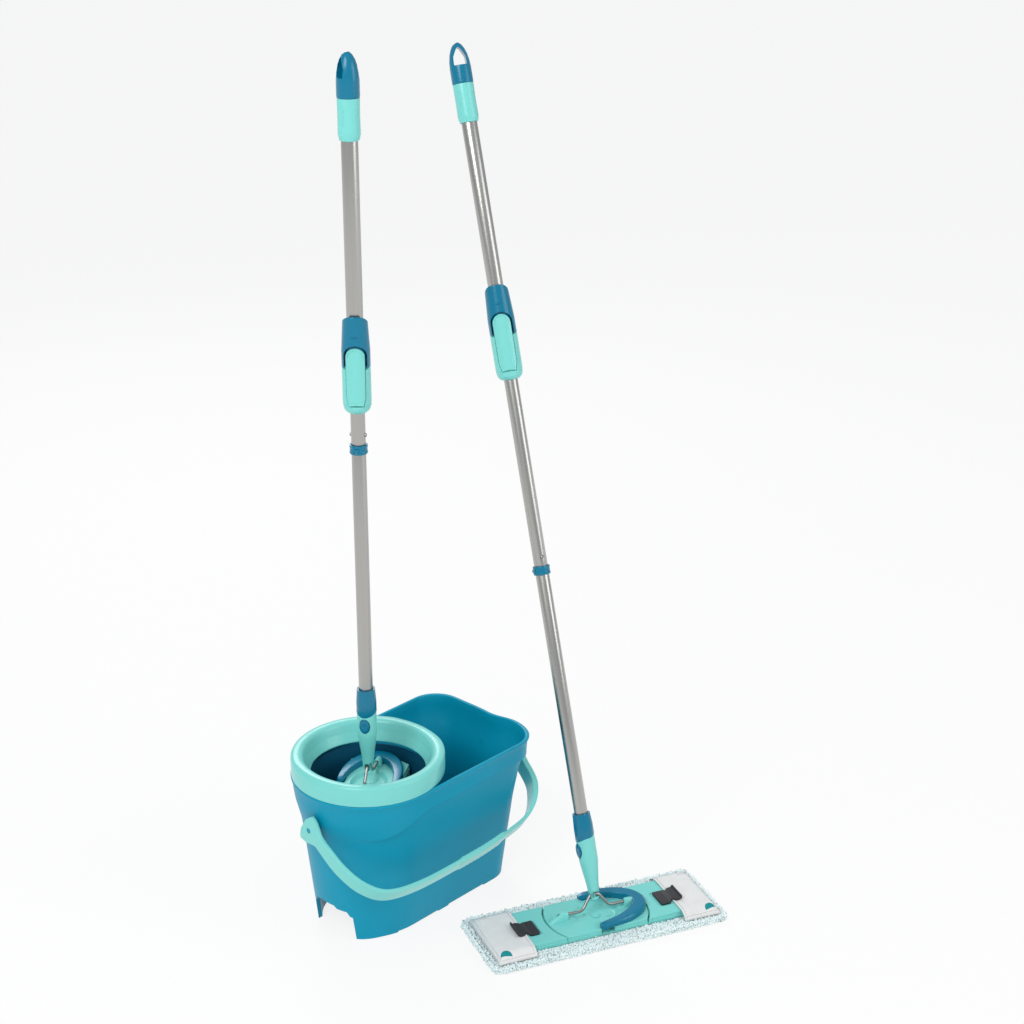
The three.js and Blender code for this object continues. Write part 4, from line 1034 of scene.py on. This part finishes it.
def loop_section(share, point):
    """The loop's section, with its outer top edge rounded off where it is widest."""
    middle = math.sin(math.pi * share)
    half = (8 + 14 * middle ** 0.8) / 2
    top = LOOP_UNDER + (6.5 + 5.5 * middle ** 0.5)
    points = [(-half, LOOP_UNDER), (half, LOOP_UNDER), (half, top - 3), (half - 4 * middle, top),
              (-half, top)]
    return filleted(points, [0.8, 0.8, 1.2, 2, 2], 4)


for mop in MOPS:
    loop = swept(mop + "lift_loop_moulded", loop_line, loop_section)
    peg_profile = filleted([(0, -5.5), (4.8, -5.5), (4.8, 5.5), (0, 5.5)], [0, 0.8, 0.8, 0], 3)
    pegs = [turned("peg", peg_profile, 40,
                   place=Matrix.Translation(Vector((-3, side * 45, 22.4)) * MM) @ QUARTER["X"])
            for side in (-1, 1)]
    cut(loop, *pegs, operation="UNION")
    seat(loop, HEAD[mop], mop + "loop", "deep_plastic", deep_plastic, mop + "lift_loop")

# ---- Latches ----
# Each wing holds the pad's pocket under a strap of black rubber, moulded in an S: its inner half
# lies in the wing and its outer half rises over the pocket to a rolled lip.
rubber, tree = empty_material("moulded rubber, black")
place = add(tree, "TexCoord", {})
grit = mottled(tree, place, 1 / (0.9 * MM), 4.0)
tint = add(tree, "MapRange", {"To Min": 0.8, "To Max": 1.25}, {"Value": grit.outputs["Fac"]})
shade = add(tree, "HueSaturation", {"Color": linear("#2B2A2E")}, {"Value": tint.outputs[0]})
bump = add(tree, "Bump", {"Strength": 0.6, "Distance": 0.12 * MM}, {"Height": grit.outputs["Fac"]})
surface(tree, {"Roughness": 0.55, "IOR": 1.52}, {"Base Color": shade.outputs[0], "Normal": bump.outputs[0]})

LATCH_X = 108
LATCH_SIZE = 38


def latch_rings():
    """Sections across the strap, from its inner end to its rolled lip."""
    rings = []
    for i in range(53):
        share = i / 52
        x = LATCH_X + LATCH_SIZE * share
        waist = 5.5 * math.exp(-((share - 0.56) / 0.09) ** 2)
        half = 19 - waist - 0.6 * ramp(0.6, 0.7, share)
        ends = 1.6 * (1 - math.sqrt(max(0, 1 - (max(0, abs(share - 0.5) - 0.46) / 0.04) ** 2)))
        rise = 2.7 * ramp(0.38, 0.56, share) + 3.2 * ramp(0.84, 1.0, share)
        thick = 4 + 1.2 * ramp(0.86, 0.94, share) - 2.2 * ramp(0.97, 1.0, share)
        low = PLATE_TOP - 0.9 + rise
        section = rounded_section(2 * (half - ends), thick, 1.3)
        rings.append([(x, a - 5, low + thick / 2 + b) for a, b in section])
    return rings


for mop in MOPS:
    for hand, side in (("left", -1), ("right", 1)):
        latch = lofted(mop + "latch_" + hand + "_strap", latch_rings())
        if side < 0:
            latch.data.transform(Matrix.Diagonal((-1, 1, 1, 1)))
            latch.data.flip_normals()
        seat(latch, wing_frame(mop, side), f"{mop}latch_{hand}_clip", "latch_rubber", rubber,
             f"{mop}latch_{hand}")

# ---- Pad ----
# The pad is a flat microfibre mop cover: a padded base, a pile of twisted yarn underneath and all
# round, and a woven polyester pocket at each end that slips over a wing.
HAND = {-1: "left", 1: "right"}
BASE_HALF_LENGTH = 202
BASE_HALF_WIDTH = 76
BASE_CORNER = 13
POCKET_X = 130
POCKET_TIP = 195
POCKET_HALF = 67
draw = random.Random(11)


def cloth(name, colours, thread, roughness):
    """Woven polyester: threads over and under, drawn as coarse as they need to be to show."""
    material, tree = empty_material(name)
    place = add(tree, "TexCoord", {})
    wave = {"Scale": 0.314 / (thread * MM), "Distortion": 0.4, "Detail": 1.0}
    waves = [add(tree, "TexWave", {"bands_direction": axis, **wave}, {"Vector": place.outputs["Object"]})
             for axis in ("X", "Y")]
    weave = add(tree, "Math", {"operation": "MULTIPLY"},
                {0: waves[0].outputs["Fac"], 1: waves[1].outputs["Fac"]})
    uneven = mottled(tree, place, 60.0, 3.0)
    tint = add(tree, "Mix", {"data_type": "RGBA", 6: linear(colours[0]), 7: linear(colours[1])},
               {0: uneven.outputs["Fac"]})
    bump = add(tree, "Bump", {"Strength": 0.5, "Distance": 0.25 * MM}, {"Height": weave.outputs[0]})
    surface(tree, {"Roughness": roughness, "Sheen Weight": 0.25, "Sheen Roughness": 0.4, "IOR": 1.45},
            {"Base Color": tint.outputs[2], "Normal": bump.outputs[0]})
    return material


pocket_cloth = cloth("woven polyester, white", ("#E2E0E0", "#F2F1F0"), 1.1, 0.8)
backing = cloth("knitted backing, pale aqua", ("#DDF2F4", "#EFFAFA"), 1.6, 0.9)
thread_cloth = cloth("sewing thread, grey", ("#A9ACAE", "#C6C8C9"), 0.5, 0.7)

yarn, tree = empty_material("microfibre yarn, pale aqua")
place = add(tree, "TexCoord", {})
tufts = mottled(tree, place, 1 / (7 * MM), 2.0)
fibre = mottled(tree, place, 1 / (0.6 * MM), 2.0)
mixed = add(tree, "Mix", {"data_type": "RGBA", 6: linear("#DDF2F4"), 7: linear("#F8FEFE")},
            {0: tufts.outputs["Fac"]})
bump = add(tree, "Bump", {"Strength": 0.3, "Distance": 0.2 * MM}, {"Height": fibre.outputs["Fac"]})
surface(tree, {"Roughness": 0.95, "Sheen Weight": 0.7, "Sheen Roughness": 0.5, "IOR": 1.4},
        {"Base Color": mixed.outputs[2], "Normal": bump.outputs[0]})

floor_place = HEAD["floor_"]


def blended(piece, side, body_slot, material, *stands_for):
    """Puts a piece of the pad in the floor mop's head frame with its material, and hides its CAD nodes."""
    piece.data.transform(floor_place)
    piece.data.materials.append(material)
    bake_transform(piece)
    if stands_for:
        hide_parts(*stands_for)
    return piece


def base_half(side):
    """One half of the base, lofted along X, closest round the hinge."""
    stations = [0.0, 12, 24, 36, 44] + [48 + 3 * i for i in range(13)] + [96 + 12 * i for i in range(8)]
    stations += [189, 193, 196.5, 199, 200.8, BASE_HALF_LENGTH]
    rings = []
    for x in stations:
        turn_in = max(0.0, x - (BASE_HALF_LENGTH - BASE_CORNER))
        half = BASE_HALF_WIDTH
        if turn_in:
            half = BASE_HALF_WIDTH - BASE_CORNER + math.sqrt(max(0.0, BASE_CORNER ** 2 - turn_in ** 2))
        thick = 6.2 - 2.6 * ramp(194, BASE_HALF_LENGTH, x)
        rings.append([(side * x, a, 4.9 + b) for a, b in rounded_section(2 * half, thick, 2.6)])
    return lofted(f"pad_base_{HAND[side]}", rings)


for side, stands_for in ((-1, ("pad_left", "pad_centre")), (1, ("pad_right",))):
    base = base_half(side)
    blended(base, side, "pad_fabric", backing, *stands_for)


def strand(points, radii, sides, vertices, faces):
    """Adds a tapering yarn through points to lists of vertices and faces."""
    start = len(vertices)
    for i, point in enumerate(points):
        ahead = points[min(i + 1, len(points) - 1)] - points[max(i - 1, 0)]
        one = ahead.orthogonal().normalized()
        two = ahead.normalized().cross(one)
        for k in range(sides):
            a = 2 * math.pi * k / sides
            vertices.append((point + (one * math.cos(a) + two * math.sin(a)) * radii[i]) * MM)
    for i in range(len(points) - 1):
        for k in range(sides):
            a = start + i * sides + k
            b = start + i * sides + (k + 1) % sides
            faces.append((a, b, b + sides, a + sides))
    faces.append(tuple(start + k for k in reversed(range(sides))))
    faces.append(tuple(start + (len(points) - 1) * sides + k for k in range(sides)))


def strands_object(name, vertices, faces):
    """One object from the lists that strand fills."""
    data = bpy.data.meshes.new(name)
    data.from_pydata(vertices, [], faces)
    data.shade_smooth()
    made = bpy.data.objects.new(name, data)
    scene.collection.objects.link(made)
    return made


def tuft(root, lean, length, thick, ground):
    """One soft loop of yarn: it leaves its root along lean, kinks, and droops at its tip."""
    points = [root]
    heading = lean.normalized()
    for i in range(4):
        wander = Vector((draw.uniform(-1, 1), draw.uniform(-1, 1), draw.uniform(-1, 0.8)))
        heading = (heading + 0.5 * wander + Vector((0, 0, -0.2 * i))).normalized()
        step = points[-1] + heading * (length / 4)
        step.z = max(step.z, ground)
        points.append(step)
    return points, [thick * share for share in (1, 0.98, 0.9, 0.74, 0.34)]


def on_border(x, y):
    """True where the pile shows on top, beside the plate and round the pockets."""
    if abs(x) < POCKET_X - 2:
        return abs(y) > 53
    return abs(y) > POCKET_HALF + 1 or abs(x) > POCKET_TIP + 1


def fringe(side):
    """The pile of one half: on the top border, round the edge in three rows, and underneath."""
    vertices, faces = [], []
    spacing = 3.4
    for i in range(int(BASE_HALF_LENGTH / spacing)):
        for k in range(int(2 * BASE_HALF_WIDTH / spacing)):
            x = side * (i * spacing + draw.uniform(0, 2.4))
            y = 2 - BASE_HALF_WIDTH + k * spacing + draw.uniform(-1.2, 1.2)
            if abs(y) > BASE_HALF_WIDTH - 1 or not on_border(x, y):
                continue
            lean = Vector((0.5 * side * ramp(150, 200, abs(x)),
                           math.copysign(0.55 * ramp(50, 75, abs(y)), y), 1))
            lean += Vector((draw.uniform(-0.5, 0.5), draw.uniform(-0.5, 0.5), 0))
            points, radii = tuft(Vector((x, y, 7)), lean, draw.uniform(3.6, 5.6), draw.uniform(2, 2.6), 9)
            strand(points, radii, 6, vertices, faces)
    edge = filleted([(0, -BASE_HALF_WIDTH), (BASE_HALF_LENGTH, -BASE_HALF_WIDTH),
                     (BASE_HALF_LENGTH, BASE_HALF_WIDTH), (0, BASE_HALF_WIDTH)],
                    [0, BASE_CORNER, BASE_CORNER, 0], 6)
    for start, end in zip(edge, edge[1:]):
        a, b = Vector((*start, 0)), Vector((*end, 0))
        count = max(1, round((b - a).length / 2.9))
        outward = (b - a).cross(Vector((0, 0, 1))).normalized()
        for i in range(count):
            for level in (2.8, 5.4, 8.2):
                at = a.lerp(b, (i + draw.random()) / count)
                root = Vector((side * at.x, at.y, level + draw.uniform(-0.6, 0.6))) - outward * 2
                lean = Vector((side * outward.x, outward.y, 0.3 * (level - 3.5)))
                lean += Vector((draw.uniform(-0.5, 0.5), draw.uniform(-0.5, 0.5), draw.uniform(-0.2, 0.2)))
                points, radii = tuft(root, lean, draw.uniform(4.6, 7), draw.uniform(2, 2.6), 2.7)
                strand(points, radii, 6, vertices, faces)
    for i in range(31):
        for k in range(23):
            x = side * (i * 6.4 + 3 + draw.uniform(-1.6, 1.6))
            root = Vector((x, (k - 11) * 6.3 + draw.uniform(-1.6, 1.6), 2.9))
            lean = Vector((draw.uniform(-1, 1), draw.uniform(-1, 1), -0.3))
            points, radii = tuft(root, lean, draw.uniform(5, 8), 1.7, 1.75)
            strand(points, radii, 4, vertices, faces)
    return strands_object(f"pad_pile_{HAND[side]}", vertices, faces)


for side in (-1, 1):
    blended(fringe(side), side, "pad_fabric", yarn)


def pocket_height(x, y):
    """The pocket's cloth: flat over the wing, sloping off round it, and sewn down at its edges."""
    over = (1 - ramp(49, 70, abs(y))) * (1 - ramp(182, 199, abs(x)))
    sewn = max(ramp(POCKET_HALF - 2, POCKET_HALF + 1, abs(y)), ramp(POCKET_TIP - 2, POCKET_TIP + 1, abs(x)))
    broad = noise.noise(Vector((x * 0.05, y * 0.05, 3.7)))
    fine = noise.noise(Vector((x * 0.16, y * 0.13, 9.1)))
    crease = broad * 0.55 + fine * 0.2
    return 13 + 9.3 * over - 4 * sewn + crease * (0.3 + 0.7 * (1 - over))


def pocket(side):
    """A sheet over the wing's tip, with a rolled hem at its open edge."""
    xs = [POCKET_X + 1.2 * i for i in range(3)] + [POCKET_X + 4 + 2.44 * i for i in range(26)]
    ys = [-POCKET_HALF + POCKET_HALF / 26 * i for i in range(53)]
    mesh = bmesh.new()
    rows = []
    for x in xs:
        hem = 0.7 if x < POCKET_X + 3 else 0
        line = [Vector((side * x, y, pocket_height(side * x, y) + hem)) * MM for y in ys]
        rows.append([mesh.verts.new(p) for p in line])
    for low, high in zip(rows, rows[1:]):
        for k in range(len(ys) - 1):
            corners = (low[k], low[k + 1], high[k + 1], high[k])
            mesh.faces.new(corners if side < 0 else tuple(reversed(corners)))
    bmesh.ops.recalc_face_normals(mesh, faces=mesh.faces)
    made = mesh_object(f"pocket_{HAND[side]}", mesh)
    thicken = made.modifiers.new("cloth", "SOLIDIFY")
    thicken.thickness = 0.9 * MM
    thicken.offset = 0
    return settle(made)


def sewn_line(start, end, vertices, faces):
    """Running stitches between two points on the pocket, one every 4 millimetres."""
    a, b = Vector(start), Vector(end)
    count = round((b - a).length / 4)
    for i in range(count):
        ends = [a.lerp(b, (i + share) / count) for share in (0.1, 0.3, 0.5, 0.7)]
        points = [Vector((p.x, p.y, pocket_height(p.x, p.y) + high))
                  for p, high in zip(ends, (0.45, 0.95, 0.95, 0.45))]
        strand(points, [0.3, 0.42, 0.42, 0.3], 6, vertices, faces)


def patch(name, outline):
    """A thin tab that follows the pocket's surface inside an outline."""
    centre = Vector((sum(x for x, _ in outline), sum(y for _, y in outline))) / len(outline)
    rings = []
    for share, lift in ((1, 0.3), (1, 0.8), (0.94, 1), (0.8, 1.05), (0.6, 1.1), (0.4, 1.1), (0.2, 1.1)):
        ring = [centre.lerp(Vector(p), share) for p in outline]
        rings.append([(p.x, p.y, pocket_height(p.x, p.y) + lift) for p in ring])
    return lofted(name, rings)


for side, hand in HAND.items():
    leaf = f"floor_wing_{hand}_leaf"
    sheet = pocket(side)
    seat(sheet, floor_place, leaf, "pad_fabric", pocket_cloth)
    vertices, faces = [], []
    for y in (-63, 63):
        sewn_line((side * (POCKET_X + 3), y), (side * 190, y), vertices, faces)
    sewn_line((side * 191, -60), (side * 191, 60), vertices, faces)
    sewn_line((side * (POCKET_X + 4.5), -60), (side * (POCKET_X + 4.5), 60), vertices, faces)
    for shift in (0, 5):
        sewn_line((side * 172, 52 - shift), (side * 188, 52 - shift), vertices, faces)
    stitches = strands_object(f"pocket_stitches_{hand}", vertices, faces)
    seat(stitches, floor_place, leaf, "pad_fabric", thread_cloth)
    dome = arc(180, -58, 9.5, 10, 190, 24)
    tab = patch(f"pocket_tab_{hand}", [(side * x, y) for x, y in dome + stretch(dome[-1], dome[0], 14)])
    # The tab is drawn in the same dark sea green that paints the shade on the bail web.
    seat(tab, floor_place, leaf, "deep_plastic", painted_shade_plastic)
